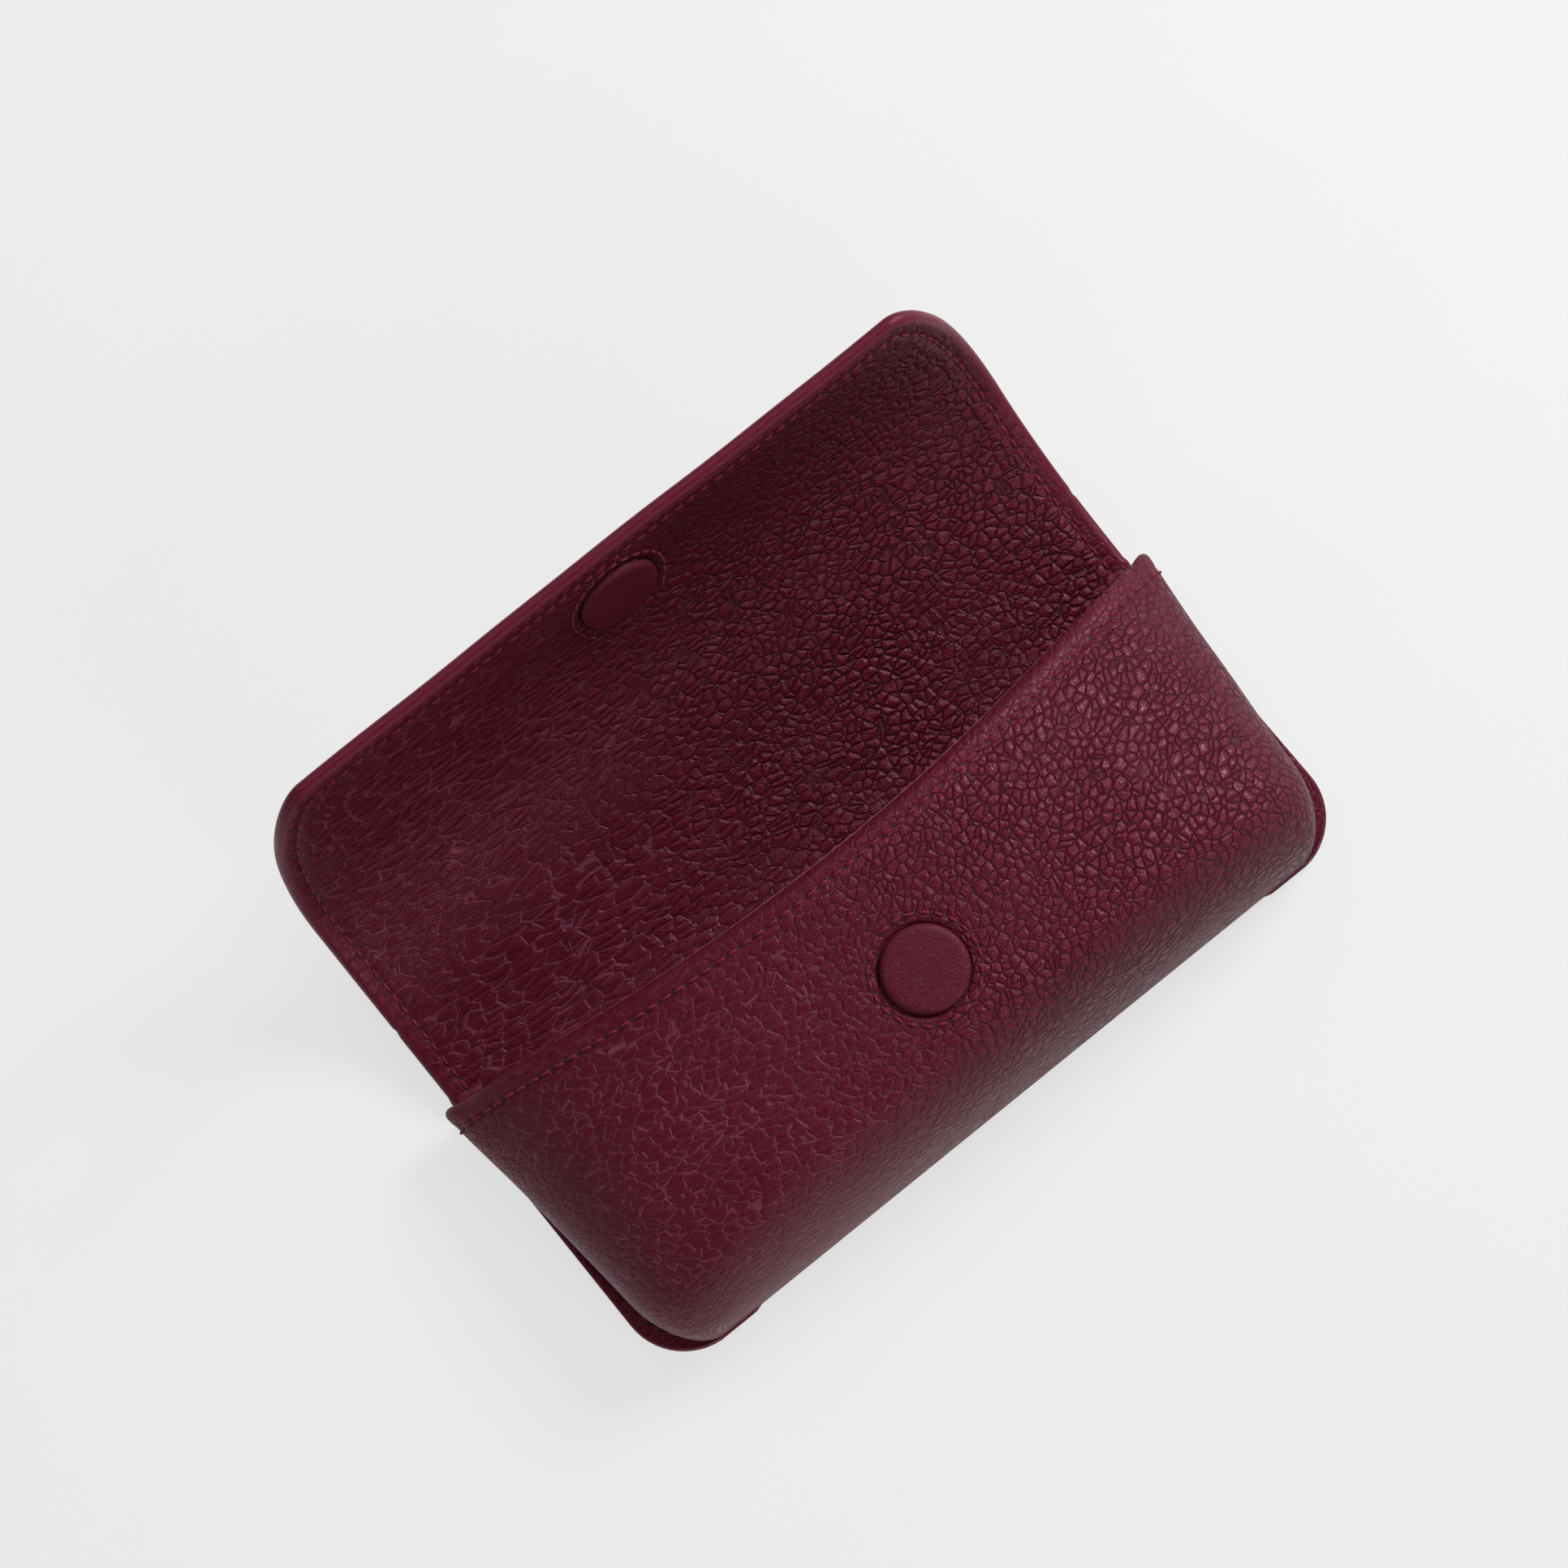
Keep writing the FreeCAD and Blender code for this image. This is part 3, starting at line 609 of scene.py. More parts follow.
def outside_sheet(name, x, spots, weights, meeting, material):
    """A sheet of outer leather on the back or flap, with its edges turned over."""
    outer = sheet_points(x, spots, WALL)
    inner = sheet_points(x, spots, WALL - LEATHER)
    uv = np.stack([x + OUTSIDE_MAP, spots], -1)
    rim = rolled_rim(weights, x.shape[1], meeting)
    # the outside faces down, so each row is handed over from right to left
    piece = shell(name, outer[:, ::-1], inner[:, ::-1], uv[:, ::-1] * [-1, 1], 0 * x, material, rim=rim)
    return piece, flat_size(uv)


def back_leather(material):
    low = CORNER * (1 - np.cos(np.linspace(math.radians(6), math.pi / 2, 14)))
    place = np.concatenate([low, marks(CORNER, CUT, 1.1, (BACK - 5, BACK + 12, 0.6))[1:]])
    half = flap_half(place, 0.0)
    shares = np.linspace(-1, 1, 151)
    tuck = 1.5 * smooth((HALF - CORNER + 3.0 - np.abs(HALF * shares)) / 6.0)
    x = (half - 0.45 - 0.8 * smooth((place - BACK) / 3.0))[:, None] * shares[None, :]
    spots = np.repeat(place[:, None], len(shares), 1)
    spots = spots + tuck[None, :] * (1 - smooth(spots / 6.0))
    turned_over = smooth((place - BACK + 0.5) / 2.5)
    return outside_sheet("back_leather", x, spots, turned_over, place > CUT - 0.01, material)


def back_lining(material):
    place = marks(2.4, CUT, 1.0, (BACK - 4, BACK + 10, 0.5))
    inside = HALF - FLANGE - 1.6
    corner = np.maximum(LINING_CORNER - place, 0.0)
    narrow = inside - LINING_CORNER + np.sqrt(np.maximum(LINING_CORNER**2 - corner**2, 4.0))
    opened = smooth((place - MOUTH + 0.2) / 1.4)
    half = narrow + (HALF - 1.3 - narrow) * opened
    right = marks(0, HALF, 1.0, (HALF - 6, HALF, 0.5))
    shares = np.concatenate([-right[:0:-1], right]) / HALF
    x = half[:, None] * shares[None, :]
    spots = np.repeat(place[:, None], len(shares), 1)
    gap, along = from_path(x, spots, FLAP_SEAM)
    relief = seam_relief(gap, along) * smooth((spots - BACK) / 2.0)
    top = sheet_points(x, spots, -relief)
    under = sheet_points(x, spots, LINING)
    uv = np.stack([x, spots], -1)
    hem = smooth((np.abs(x) - HALF + HEM + 2.5) / 2.5)
    piece = shell("back_inside", top, under, uv, hem, material, rim=lambda ids: half_round(0.25))
    return piece, flat_size(uv)


def flap_leather(material):
    inset = 1.25
    place = flap_places(CUT, 1.2, inset)
    x = across(place, inset, 1.3)
    spots = np.repeat(place[:, None], x.shape[1], 1)
    return outside_sheet("flap_leather", x, spots, np.ones(len(place)), place < CUT + 0.01, material)


def disc_frame_flap():
    """The flap magnet's centre and axes: across, up and out."""
    place = BACK + FLAP_DISC_PLACE
    centre = sheet_points(np.array(0.0), np.array(place), 0.0)
    angle = math.radians(SLOPE) + math.radians(TURN) * (FLAP_DISC_PLACE - START) / BEND
    up = np.array([0.0, math.cos(angle), math.sin(angle)])
    side = np.array([1.0, 0.0, 0.0])
    return centre, side, up, np.cross(side, up)


FLAP_DISC = disc_frame_flap()


def flap_lining(material):
    inset = 1.3
    disc_rows = (BACK + FLAP_DISC_PLACE - 11.5, BACK + FLAP_DISC_PLACE + 11.5, 0.5)
    place = flap_places(CUT, 0.8, inset, disc_rows)
    x = across(place, inset, 0.9, (0, 12.0, 0.45), (HALF - 6, HALF, 0.5))
    spots = np.repeat(place[:, None], x.shape[1], 1)
    gap, along = from_path(x, spots, FLAP_SEAM)
    flat = sheet_points(x, spots, 0.0)
    relief = seam_relief(gap, along) + ring_relief(flat, FLAP_DISC)
    top = sheet_points(x, spots, -relief)
    under = sheet_points(x, spots, LINING)
    kept = punch(top, under, FLAP_DISC)
    uv = np.stack([x, spots], -1)
    edge_gap, _ = from_path(x, spots, outline_path(0.0, CUT))
    hem = smooth((HEM + 2.5 - edge_gap) / 2.5)
    piece = shell("flap_inside", top, under, uv, hem, material, kept, rim=lambda ids: half_round(0.25))
    return piece, flat_size(uv, kept)


# ---- magnet covers and stitches ------------------------------------------------------------


CROWN = 0.28
UNDERSIDE = -1.55


def disc_cover(name, disc, material):
    """A smooth leather cap over a magnet: a slight dome, a soft edge and a brim underneath."""
    turns = np.linspace(0, math.pi / 2, 7)
    crown = [(r, PROUD + CROWN * (1 - (r / COVER) ** 2)) for r in np.linspace(0.4, COVER - 1.0, 12)]
    shoulder = [(COVER - 1.0 + math.sin(a), PROUD - 1.0 + math.cos(a)) for a in turns[1:]]
    under = [(COVER, -0.6), (COVER, -1.2), (BRIM, -1.3)]
    under += [(radius, UNDERSIDE) for radius in (BRIM, 7.4, 0.4)]
    profile = np.array(crown + shoulder + under)
    around = 96
    angles = np.linspace(0, 2 * math.pi, around, endpoint=False)
    centre, side, up, out = disc
    rings = []
    for radius, lift in profile:
        wave = lift - 0.03 * np.sin(3 * angles + 1.0) * (radius / COVER)
        ring = centre + radius * (np.cos(angles)[:, None] * side + np.sin(angles)[:, None] * up)
        rings.append(ring + wave[:, None] * out)
    points = np.concatenate(rings + [[centre + (PROUD + CROWN) * out], [centre + UNDERSIDE * out]])
    run = path_lengths(profile) + 0.4
    uv = [np.stack([r * np.cos(angles), r * np.sin(angles)], -1) for r in run]
    uv = np.concatenate(uv + [[[0.0, 0.0]], [[run[-1], 0.0]]])
    here = np.arange(around)
    following = (here + 1) % around
    faces = []
    for ring in range(len(profile) - 1):
        low, high = ring * around, (ring + 1) * around
        faces.append(np.stack([low + here, high + here, high + following, low + following], -1))
    top, bottom = len(profile) * around, len(profile) * around + 1
    last = (len(profile) - 1) * around
    faces.append(np.stack([np.full(around, top), here, following, following], -1))
    faces.append(np.stack([np.full(around, bottom), last + following, last + here, last + here], -1))
    return make_cap(name, points, np.concatenate(faces), uv, material)


def make_cap(name, points, faces, uv, material, holes=None):
    """As make_piece, for faces where a repeated last corner marks a triangle.

    Faces from number `holes` on are the discs of painted shade over the needle holes, in a near-black
    material.
    """
    faces = [face[:3] if face[2] == face[3] else face for face in faces.tolist()]
    piece = make_piece(name, points, faces, uv, np.zeros(len(points)), material)
    if holes is not None:
        piece.data.materials.append(needle_hole_shade)
        for polygon in piece.data.polygons[holes:]:
            polygon.material_index = 1
    return piece


SIDES = 8
# painted shade: the half length and half width of the near-black disc over each needle hole
PIT = (0.42, 0.27)  # half length and half width of the dark pit round a needle hole


def stitches(name, spots, directions, surface, material, lift=0.16):
    """A row of thread lengths that rise from their needle holes and lie on the leather, with a disc of
    painted shade over each needle hole.
    """
    tree = BVHTree.FromObject(surface, bpy.context.evaluated_depsgraph_get())
    sweep = np.linspace(-1, 1, 9)
    swell = THREAD * np.array([0.55, 0.8, 0.95, 1.0, 1.03, 1.0, 0.95, 0.8, 0.55])
    angles = np.linspace(0, 2 * math.pi, SIDES, endpoint=False)
    chance = np.random.default_rng(7)
    points, faces, uv, shade_discs = [], [], [], []

    def on_leather(spot):
        placed = Vector(((spot - [0, BACK / 2, 0]) * MM).tolist())
        location, normal, _, _ = tree.find_nearest(placed)
        return np.array(location) / MM + [0, BACK / 2, 0], np.array(normal)

    for number, (spot, direction) in enumerate(zip(spots, directions)):
        here, out = on_leather(spot)
        out = out if out @ (spot - here + 0.3 * out) > -0.2 else -out
        ahead = unit(direction - out * (direction @ out))
        side = np.cross(out, ahead)
        ahead = unit(ahead + side * chance.normal(0, 0.05))
        length = STITCH * (1 + chance.normal(0, 0.03))
        start = len(points)
        for ring, (share, thick) in enumerate(zip(sweep, swell)):
            height = lift - (lift + 0.42) * abs(share) ** 3.2
            middle = here + ahead * share * length / 2 + out * height
            for angle in angles:
                points.append(middle + thick * (math.cos(angle) * side + math.sin(angle) * out))
                uv.append([number * 7.0 + share * length / 2, angle * THREAD])
            if ring:
                for k in range(SIDES):
                    low, high = start + (ring - 1) * SIDES, start + ring * SIDES
                    following = (k + 1) % SIDES
                    faces.append([low + k, low + following, high + following, high + k])
        tips = ((sweep[0], start), (sweep[-1], start + (len(sweep) - 1) * SIDES))
        for share, ring_start in tips:
            points.append(here + ahead * share * (length / 2 + 0.1) - out * 0.5)
            uv.append([number * 7.0 + share * length / 2, 0.0])
            tip = len(points) - 1
            for k in range(SIDES):
                one, two = ring_start + k, ring_start + (k + 1) % SIDES
                one, two = (one, two) if share > 0 else (two, one)
                faces.append([tip, one, two, two])
            # painted shade: a near-black disc laid just over the leather at each needle hole
            hole, _ = on_leather(here + ahead * share * (length / 2 + 0.12))
            first = len(points)
            points.append(hole + out * 0.04)
            uv.append([number * 7.0, 0.0])
            for k, angle in enumerate(angles):
                round_hole = PIT[0] * math.cos(angle) * ahead + PIT[1] * math.sin(angle) * side
                points.append(hole + round_hole + out * 0.02)
                uv.append([number * 7.0, 0.0])
                shade_discs.append([first, first + 1 + k, first + 1 + (k + 1) % SIDES, first + 1 + (k + 1) % SIDES])
    return make_cap(name, np.array(points), np.array(faces + shade_discs), np.array(uv), material, len(faces))


def even_path(points, pitch=PITCH):
    """Spots and directions half a pitch in and then a pitch apart along a chain of points."""
    run = path_lengths(points)
    wanted = np.arange(pitch / 2, run[-1], pitch)
    spots = np.stack([np.interp(wanted, run, value) for value in points.T], -1)
    ahead = np.stack([np.interp(wanted + 0.3, run, value) for value in points.T], -1)
    return spots, unit(ahead - spots)


def ring_spots(disc):
    """Spots and directions of the stitches round a magnet."""
    centre, side, up, out = disc
    angles = (np.arange(RING_COUNT) + 0.5) * 2 * math.pi / RING_COUNT
    radial = np.cos(angles)[:, None] * side + np.sin(angles)[:, None] * up
    tangent = -np.sin(angles)[:, None] * side + np.cos(angles)[:, None] * up
    return centre + RING * radial, tangent


def hem_spots():
    """Spots along the front's hem, counted both ways from its middle."""
    x, z = slice_curve(hem_base, 0.0)
    x, z, u = by_length(x, z, np.linspace(0, 1, 900))
    y = hem_base - lean(hem_base, z)
    count = int((u[-1] - 6.0) / PITCH)
    wanted = (np.arange(-count, count) + 0.5) * PITCH
    spots = np.stack([np.interp(wanted, u, value) for value in (x, y, z)], -1)
    ahead = np.stack([np.interp(wanted + 0.3, u, value) for value in (x, y, z)], -1)
    return spots, unit(ahead - spots)


def side_seam(sign):
    """The pouch's side seam: down the flange and round its lower corner."""
    straight = np.linspace(MOUTH - 1.5, CORNER, 60)
    turns = np.linspace(0, math.radians(84), 30)
    radius = CORNER - SEAM
    bent = HALF - SEAM - radius + radius * np.cos(turns[1:])
    x = np.concatenate([np.full(len(straight), HALF - SEAM), bent])
    y = np.concatenate([straight, CORNER - radius * np.sin(turns[1:])])
    points = np.stack([sign * x, y, np.full(len(x), FOOT)], -1)
    return even_path(points)


# ---- materials -----------------------------------------------------------------------------


class Graph:
    """A material's node tree, with short calls for its nodes."""

    def __init__(self, name):
        self.material = bpy.data.materials.new(name)
        self.material.use_nodes = True
        self.tree = self.material.node_tree
        self.tree.nodes.clear()

    def add(self, kind, links=None, values=None, **settings):
        node = self.tree.nodes.new("ShaderNode" + kind)
        for key, value in settings.items():
            setattr(node, key, value)
        for socket, value in (values or {}).items():
            node.inputs[socket].default_value = value
        for socket, source in (links or {}).items():
            self.tree.links.new(source, node.inputs[socket])
        return node

    def math(self, operation, first, second=0.0, third=None):
        node = self.add("Math", operation=operation)
        for place, value in enumerate((first, second, third)):
            if value is None:
                continue
            if isinstance(value, (int, float)):
                node.inputs[place].default_value = value
            else:
                self.tree.links.new(value, node.inputs[place])
        return node.outputs[0]

    def span(self, value, low, high, to_low=0.0, to_high=1.0):
        values = {"From Min": low, "From Max": high, "To Min": to_low, "To Max": to_high}
        node = self.add("MapRange", {"Value": value}, values, interpolation_type="SMOOTHSTEP")
        return node.outputs[0]

    def mix(self, share, first, second):
        node = self.add("Mix", data_type="RGBA")
        for socket, value in ((0, share), (6, first), (7, second)):
            if isinstance(value, (int, float, tuple)):
                node.inputs[socket].default_value = value
            else:
                self.tree.links.new(value, node.inputs[socket])
        return node.outputs[2]

    def noise(self, vector, scale, detail=2.0, rough=0.5):
        values = {"Scale": scale, "Detail": detail, "Roughness": rough}
        return self.add("TexNoise", {"Vector": vector}, values)

    def cells(self, vector, scale):
        """How far a point is from the nearest border of an uneven patchwork of cells."""
        values = {"Scale": scale, "Randomness": 0.85}
        node = self.add("TexVoronoi", {"Vector": vector}, values, feature="DISTANCE_TO_EDGE")
        return node.outputs["Distance"]

    def scaled(self, vector, sizes):
        return self.add("VectorMath", {0: vector}, {1: sizes}, operation="MULTIPLY").outputs[0]

    def centred(self, noise):
        links = {0: noise.outputs["Color"]}
        return self.add("VectorMath", links, {1: (0.5, 0.5, 0.5)}, operation="SUBTRACT").outputs[0]

    def finish(self, colour, roughness, height, distance, more=None, **constant):
        bump = self.add("Bump", {"Height": height}, {"Strength": 1.0, "Distance": distance})
        links = {"Base Color": colour, "Roughness": roughness, "Normal": bump.outputs[0], **(more or {})}
        shader = self.add("BsdfPrincipled", links, constant)
        self.add("OutputMaterial", {"Surface": shader.outputs[0]})
        return self.material


OUTER_DRAW = ((0.72, 1.5), (1.0, 1.1))
LINING_DRAW = ((0.5, 1.25), (0.85, 1.2))


def leather(name, body, crease_shade, cell=0.48, draw=OUTER_DRAW, relief=1.0, gloss=0.48, rough=(0.34, 0.5)):
    """Pebbled leather: plump uneven cells with creases between them, and a finer grain, with painted shade
    in the creases and a painted highlight along the thin crease lines.

    draw gives the pattern's scale along and across the case at its left and at its right. The crease colour
    is the colour of the painted shade.
    """
    g = Graph(name)
    uv = g.add("UVMap", uv_map="leather").outputs[0]
    place = g.scaled(uv, (UV_UNIT, UV_UNIT, UV_UNIT))
    hem = g.add("Attribute", attribute_name="hem").outputs["Fac"]
    # the pebble is drawn out and shallow at the case's left, rounder and deeper at its right
    u = g.add("SeparateXYZ", {0: uv}).outputs[0]
    right = g.span(u, -0.7, 0.4)
    along = g.span(u, -0.7, 0.4, draw[0][0], draw[1][0])
    across_it = g.span(u, -0.7, 0.4, draw[0][1], draw[1][1])
    wander = g.scaled(g.centred(g.noise(place, 0.11, 1.0)), (2.6, 2.6, 0.0))
    jitter = g.scaled(g.centred(g.noise(place, 0.8, 2.0)), (0.5, 0.5, 0.0))
    warped = g.add("VectorMath", {0: place, 1: wander}, operation="ADD").outputs[0]
    warped = g.add("VectorMath", {0: warped, 1: jitter}, operation="ADD").outputs[0]
    pull = g.add("CombineXYZ", {0: along, 1: across_it}, {2: 1.0}).outputs[0]
    shaped = g.add("VectorMath", {0: warped, 1: pull}, operation="MULTIPLY").outputs[0]
    edges = g.cells(shaped, cell)
    small = g.cells(shaped, cell * 2.3)
    groove = g.span(edges, 0.0, 0.07)
    small_top = g.span(small, 0.0, 0.12)
    flatness = g.math("SUBTRACT", 1.0, g.math("MINIMUM", g.math("MULTIPLY", edges, 2.4), 1.0))
    dome = g.math("SUBTRACT", 1.0, g.math("MULTIPLY", flatness, flatness))
    fade = g.span(g.noise(place, 0.05, 2.0).outputs["Fac"], 0.34, 0.6, 0.6, 1.0)
    calm = g.span(hem, 0.0, 1.0, 1.0, 0.4)
    smoothed = g.span(hem, 1.0, ROLLED, 1.0, 0.12)
    strength = g.math("MULTIPLY", g.math("MULTIPLY", fade, calm), smoothed)
    fine = g.noise(place, 2.4, 4.0, 0.6).outputs["Fac"]
    wrinkles = g.noise(shaped, 1.2, 3.0, 0.6).outputs["Fac"]
    depth = g.math("MULTIPLY", strength, g.span(right, 0.0, 1.0, 0.5, 1.0))
    large = g.math("MULTIPLY", g.math("MULTIPLY", groove, depth), 0.15 * relief)
    plump = g.math("MULTIPLY", g.math("MULTIPLY", dome, depth), 0.33 * relief)
    little = g.math("MULTIPLY", g.math("MULTIPLY", small_top, smoothed), 0.045 * relief)
    height = g.math("ADD", g.math("ADD", large, plump), little)
    height = g.math("ADD", height, g.math("MULTIPLY", wrinkles, 0.05 * relief))
    height = g.math("ADD", height, g.math("MULTIPLY", fine, 0.03))
    # painted shade: the creases between the cells take on the crease colour
    creased = g.math("MULTIPLY", g.math("SUBTRACT", 1.0, g.span(edges, 0.0, 0.1)), strength)
    # painted shade: so do the fine grain lines between the small cells
    grain_line_shade = g.math("MULTIPLY", g.math("SUBTRACT", 1.0, small_top), g.math("MULTIPLY", smoothed, 0.3))
    light = g.span(g.noise(place, 0.05, 3.0).outputs["Fac"], 0.3, 0.7)

    def tint(share):
        return tuple(share * value for value in body) + (1.0,)

    toned = g.mix(light, tint(0.92), tint(1.1))
    mottled = g.mix(g.span(fine, 0.35, 0.75, 0.0, 0.3), toned, tint(1.3))
    worn = g.mix(g.span(hem, 1.0, ROLLED, 0.0, 0.4), mottled, tint(1.1))
    # painted highlight: a pale colour along the thinnest crease lines, strongest at the case's left, where
    # light grazes them
    painted_highlight = tuple(share * value for share, value in zip((2.1, 12.0, 5.0), body)) + (1.0,)
    # painted shade in the creases, strongest at the case's right
    groove_shade = g.math("MULTIPLY", creased, g.span(right, 0.0, 1.0, 0.15, 0.85))
    thin = g.math("MULTIPLY", g.math("SUBTRACT", 1.0, g.span(edges, 0.0, 0.05)), strength)
    highlight_lines = g.math("MULTIPLY", thin, g.span(right, 0.0, 1.0, 1.0, 0.0))
    # painted shade from the crease colour, then the painted highlight along the thin crease lines
    colour = g.mix(grain_line_shade, worn, crease_shade + (1.0,))
    colour = g.mix(groove_shade, colour, crease_shade + (1.0,))
    colour = g.mix(highlight_lines, colour, painted_highlight)
    polish = g.math("ADD", g.math("MULTIPLY", fine, 0.5), g.math("MULTIPLY", dome, 0.5))
    roughness = g.span(polish, 0.2, 0.9, rough[1], rough[0])
    constant = {
        "IOR": 1.38,
        "Specular IOR Level": gloss,
        "Specular Tint": (1.0, 0.62, 0.78, 1.0),
        "Sheen Roughness": 0.35,
        "Sheen Tint": (0.85, 0.42, 0.60, 1.0),
    }
    sheen = g.span(hem, 1.0, ROLLED, 0.01, 0.35)
    return g.finish(colour, roughness, height, MM, {"Sheen Weight": sheen}, **constant)


def thread_material(name, body):
    """Waxed thread: a twist of fine strands, with painted shade in the grooves between them."""
    g = Graph(name)
    uv = g.add("UVMap", uv_map="leather").outputs[0]
    place = g.scaled(uv, (UV_UNIT, UV_UNIT, UV_UNIT))
    turned = g.add("VectorMath", {0: place}, {1: (1.0, 1.3, 0.0)}, operation="DOT_PRODUCT").outputs["Value"]
    strands = g.math("SINE", g.math("MULTIPLY", turned, 11.0))
    fuzz = g.noise(place, 9.0, 3.0).outputs["Fac"]
    # painted shade: the thread's colour deepens towards the grooves between its strands
    groove_shade = tuple(0.45 * v for v in body) + (1.0,)
    colour = g.mix(g.span(strands, -1.0, 0.4), groove_shade, body + (1.0,))
    height = g.math("ADD", g.math("MULTIPLY", strands, 0.03), g.math("MULTIPLY", fuzz, 0.02))
    roughness = g.span(fuzz, 0.3, 0.7, 0.45, 0.65)
    return g.finish(colour, roughness, height, MM, **{"Specular IOR Level": 0.25, "Sheen Weight": 0.05})


def object_grain(name, body, scale, depth, rough, **constant):
    """A plain hidden part's finish: fibres or brushing from stretched noise on the part itself."""
    g = Graph(name)
    place = g.add("TexCoord").outputs["Object"]
    drawn = g.scaled(place, (1.0, 9.0, 9.0))
    lines = g.noise(drawn, scale, 5.0, 0.6).outputs["Fac"]
    spots = g.noise(place, scale * 0.3, 3.0).outputs["Fac"]
    darker, lighter = (tuple(share * v for v in body) + (1.0,) for share in (0.8, 1.15))
    colour = g.mix(g.span(spots, 0.3, 0.7), darker, lighter)
    roughness = g.span(lines, 0.3, 0.7, rough[0], rough[1])
    return g.finish(colour, roughness, lines, depth, **constant)


OUTER = (0.094, 0.0036, 0.0150)
# painted shade: the colour in the outer leather's creases
OUTER_CREASE_SHADE = (0.034, 0.0013, 0.0055)
INNER = (0.080, 0.0028, 0.0125)
# painted shade: the colour in the lining's creases
INNER_CREASE_SHADE = (0.028, 0.0010, 0.0045)
SMOOTH = (0.092, 0.0040, 0.0160)

outer_leather = leather("outer_leather", OUTER, OUTER_CREASE_SHADE)
lining_leather = leather("lining_leather", INNER, INNER_CREASE_SHADE, draw=LINING_DRAW)
smooth_leather = leather("smooth_leather", SMOOTH, OUTER_CREASE_SHADE, cell=1.3, relief=0.22)
thread = thread_material("thread", (0.22, 0.008, 0.030))
# painted shade: the near-black finish of the discs over the needle holes
needle_hole_shade = object_grain("needle_hole_shade", (0.014, 0.0010, 0.0030), 900.0, 0.00001, (0.7, 0.85))
board = object_grain("board", (0.10, 0.09, 0.09), 900.0, 0.00005, (0.6, 0.8))
magnet = object_grain("magnet", (0.55, 0.55, 0.56), 1200.0, 0.00002, (0.2, 0.35), Metallic=1.0)

# ---- the pieces ------------------------------------------------------------------------------


def fit(piece, follows, slot, *replaced):
    """Tie a piece to a body in the place of its CAD nodes; a piece over the hinge or the fold only has its
    transform baked into its points.
    """
    if follows == "hinge":
        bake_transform(piece)
    elif follows == "fold":
        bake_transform(piece)
    else:
        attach(piece, follows)
    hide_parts(*replaced)


LEATHERS = {"outer_leather": outer_leather, "lining_leather": lining_leather}

# each sheet's maker, slot, what it follows, CAD nodes, how it is held and what it rests on
SHEETS = (
    (front_leather, "outer_leather", "pouch", ["front_panel"], "stretched", "back_leather"),
    (front_lining, "lining_leather", "pouch", ["front_lining"], "stretched", "front_board"),
    (back_leather, "outer_leather", "hinge", ["back_panel", "flap_root_panel"], "folded", "back_board"),
    (back_lining, "lining_leather", "hinge", ["back_lining", "flap_root_lining"], "folded", "back_board"),
    (flap_leather, "outer_leather", "fold", ["flap_lip_panel"], "folded", "flap_lip_board"),
    (flap_lining, "lining_leather", "fold", ["flap_lip_lining"], "folded", "flap_lip_board"),
)
sheets = {}
for make, slot, follows, replaced, *_ in SHEETS:
    piece, sizes = make(LEATHERS[slot])
    fit(piece, follows, slot, *replaced)
    sheets[piece.name] = piece

DISCS = (
    ("front_magnet", FRONT_DISC, "pouch", sheets["front_leather"]),
    ("flap_magnet", FLAP_DISC, "flap_lip", sheets["flap_inside"]),
)
for name, disc, body, leather_round in DISCS:
    cover = disc_cover(f"{name}_leather", disc, smooth_leather)
    fit(cover, body, "smooth_leather", f"{name}_cover")
    ring = stitches(f"{name}_ring", *ring_spots(disc), leather_round, thread)
    fit(ring, body, "thread", f"{name}_stitching")

hem_row = stitches("mouth_stitches", *hem_spots(), sheets["front_leather"], thread)
fit(hem_row, "pouch", "thread", "mouth_stitching")

seam_flat, _ = even_path(FLAP_SEAM)
seam_spots = sheet_points(seam_flat[:, 0], seam_flat[:, 1], 0.0)
seam_next = unit(np.gradient(seam_spots, axis=0))


def flap_row(name, chosen, sheet):
    """The stitches of the flap's seam that a mask picks out, lying on one lining sheet."""
    return stitches(name, seam_spots[chosen], seam_next[chosen], sheets[sheet], thread, 0.02)


SIDE_SIGNS = (("left", -1), ("right", 1))
for side, sign in SIDE_SIGNS:
    row = stitches(f"{side}_seam_stitches", *side_seam(sign), sheets["front_leather"], thread)
    fit(row, "pouch", "thread", f"{side}_seam_stitching")
for side, sign in SIDE_SIGNS:
    low_side = (seam_flat[:, 1] < CUT) & (seam_flat[:, 0] * sign > 0)
    row = flap_row(f"flap_{side}_stitches", low_side, "back_inside")
    fit(row, "hinge", "thread", f"flap_{side}_stitching")
row = flap_row("flap_lip_stitches", seam_flat[:, 1] >= CUT, "flap_inside")
fit(row, "fold", "thread", "flap_lip_stitching")

for name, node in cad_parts.items():
    for ending, finish in (("board", board), ("magnet", magnet)):
        if name.endswith(ending):
            node.data.materials.clear()
            node.data.materials.append(finish)

# ---- floor, light and camera --------------------------------------------------------------------

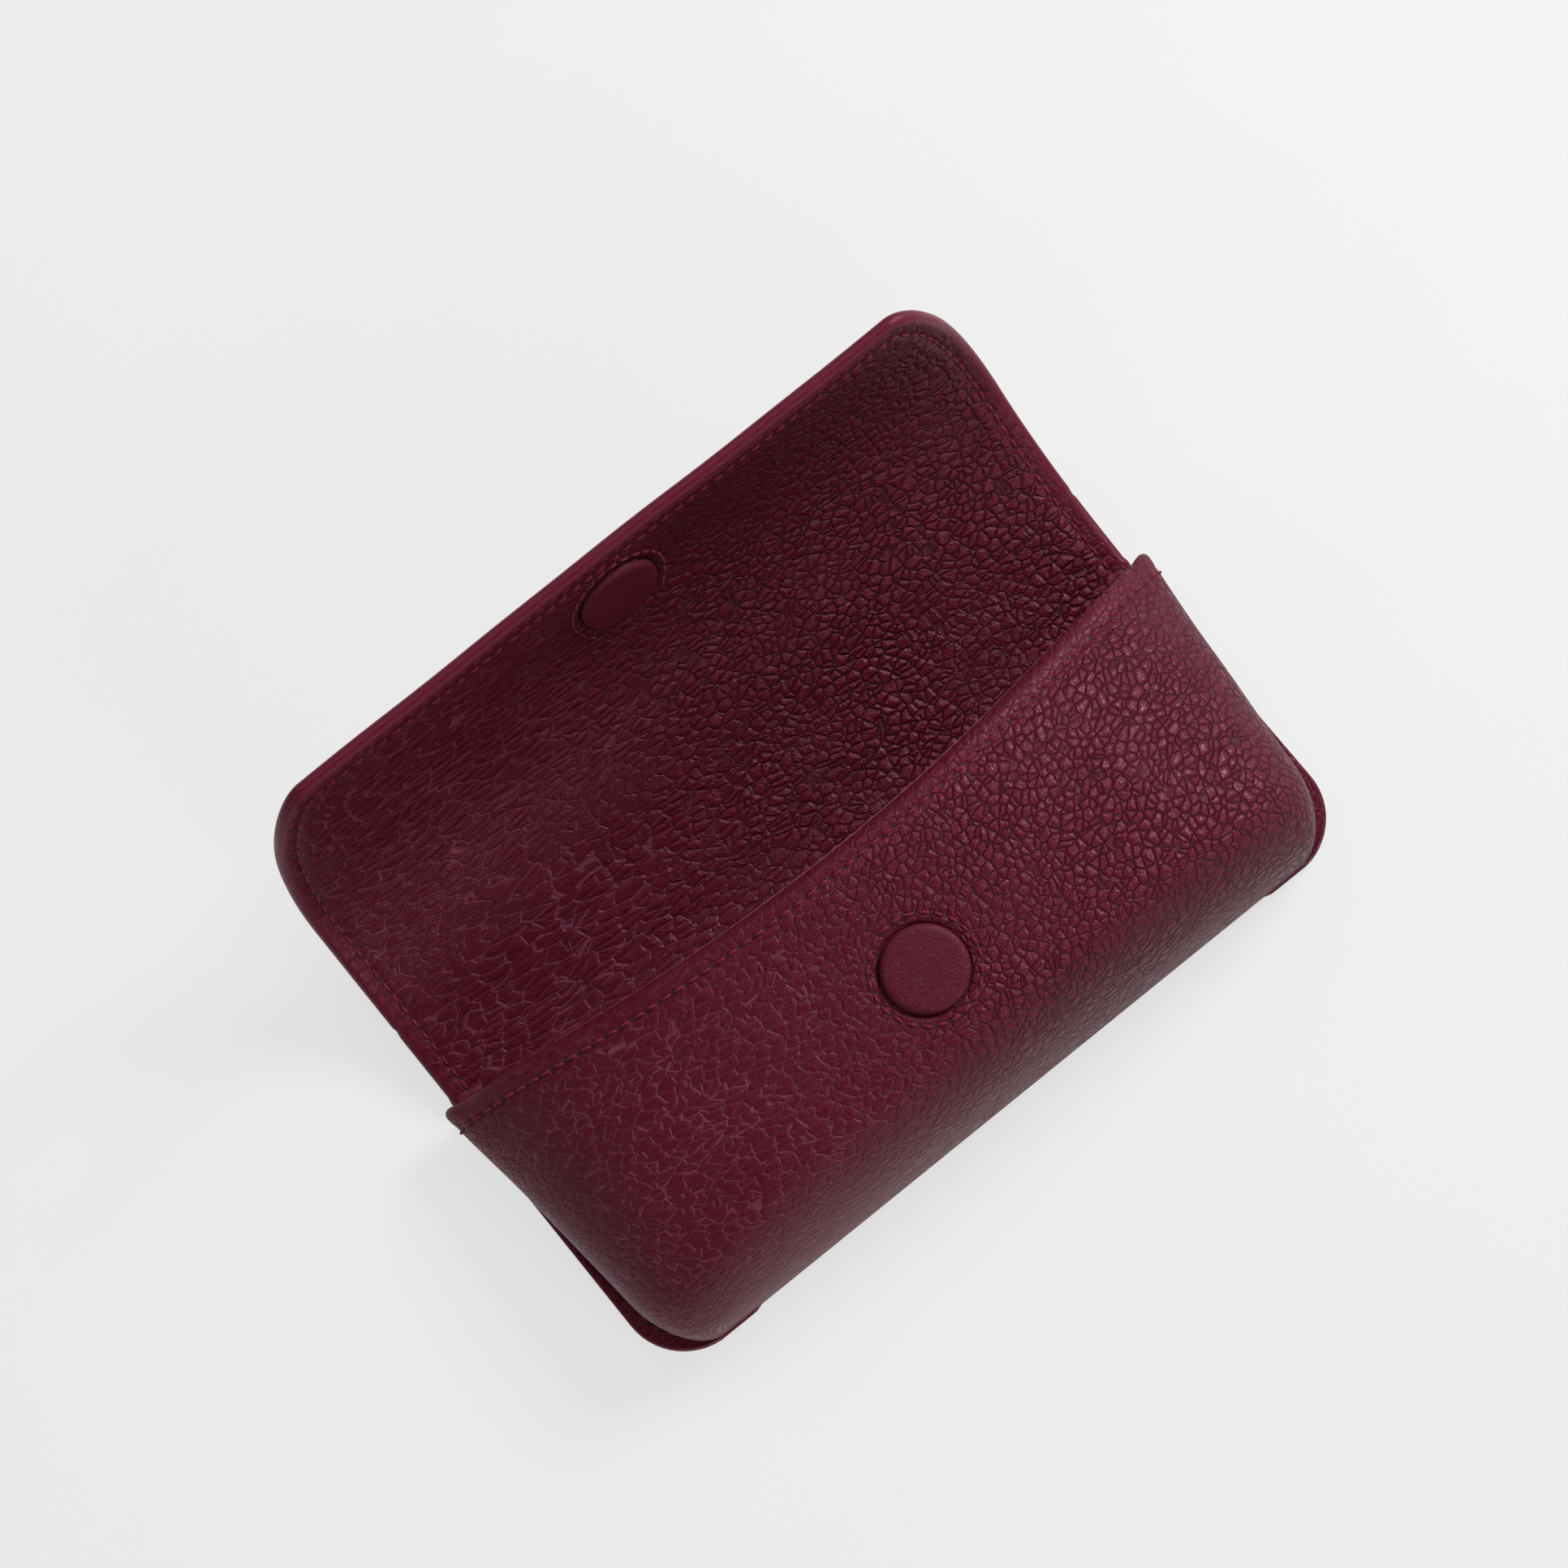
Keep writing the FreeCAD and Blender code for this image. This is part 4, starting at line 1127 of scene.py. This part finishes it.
FLOOR_SIDE = 6.0
FLOOR_DROP = 0.0002
floor_mesh = bpy.data.meshes.new("floor")
around = ((-1, -1), (1, -1), (1, 1), (-1, 1))
corners = [(x * FLOOR_SIDE / 2, y * FLOOR_SIDE / 2, -FLOOR_DROP) for x, y in around]
floor_mesh.from_pydata(corners, [], [(0, 1, 2, 3)])
floor_graph = Graph("floor")
floor_place = floor_graph.add("TexCoord").outputs["Object"]
floor_noise = floor_graph.noise(floor_place, 30.0).outputs["Fac"]
floor_colour = floor_graph.mix(floor_noise, (0.16, 0.16, 0.16, 1.0), (0.17, 0.17, 0.17, 1.0))
floor_rough = floor_graph.span(floor_noise, 0.0, 1.0, 0.85, 0.9)
floor_mesh.materials.append(
    floor_graph.finish(
        floor_colour,
        floor_rough,
        floor_noise,
        0.00001,
        **{"Specular IOR Level": 0.1, "Emission Color": (1.0, 1.0, 1.0, 1.0), "Emission Strength": 0.68},
    )
)
floor = bpy.data.objects.new("floor", floor_mesh)
bpy.context.scene.collection.objects.link(floor)

world = bpy.data.worlds.new("studio")
world.use_nodes = True
world.node_tree.nodes["Background"].inputs["Color"].default_value = (1.0, 1.0, 1.0, 1.0)
world.node_tree.nodes["Background"].inputs["Strength"].default_value = 0.06
bpy.context.scene.world = world


def softbox(name, position, size_m, power, target=(0.0, 0.0, 0.02)):
    lamp = bpy.data.lights.new(name, "AREA")
    lamp.shape = "RECTANGLE"
    lamp.size, lamp.size_y = size_m
    lamp.energy = power
    holder = bpy.data.objects.new(name, lamp)
    holder.location = position
    holder.rotation_euler = (Vector(target) - Vector(position)).to_track_quat("-Z", "Y").to_euler()
    bpy.context.scene.collection.objects.link(holder)
    return holder


softbox("key", (0.74, 0.16, 0.60), (0.36, 0.36), 9.0)
softbox("top", (0.15, 0.75, 1.0), (0.9, 0.6), 3.5)
softbox("side", (-0.9, -0.1, 0.5), (0.9, 0.5), 1.5)
softbox("low", (0.20, -0.85, 0.55), (0.8, 0.4), 3.5)

# The camera looks down at the open case, turned so that the case lies slantwise.
CAMERA_TURNS = (-12.0, 4.79, 38.68)
CAMERA_DISTANCE = 0.98876
CAMERA_TARGET = Vector((0.00427, 0.04094, 0.00297))
spin = Matrix.Identity(3)
for angle, axis in zip(CAMERA_TURNS, "XYZ"):
    spin = Matrix.Rotation(math.radians(angle), 3, axis) @ spin
facing = spin.transposed()
lens = bpy.data.cameras.new("camera")
lens.lens = 123.03
lens.clip_start = 0.05
camera = bpy.data.objects.new("camera", lens)
camera.matrix_world = Matrix.Translation(CAMERA_TARGET + facing.col[2] * CAMERA_DISTANCE) @ facing.to_4x4()
bpy.context.scene.collection.objects.link(camera)
bpy.context.scene.camera = camera
bpy.context.scene.view_settings.view_transform = "Standard"
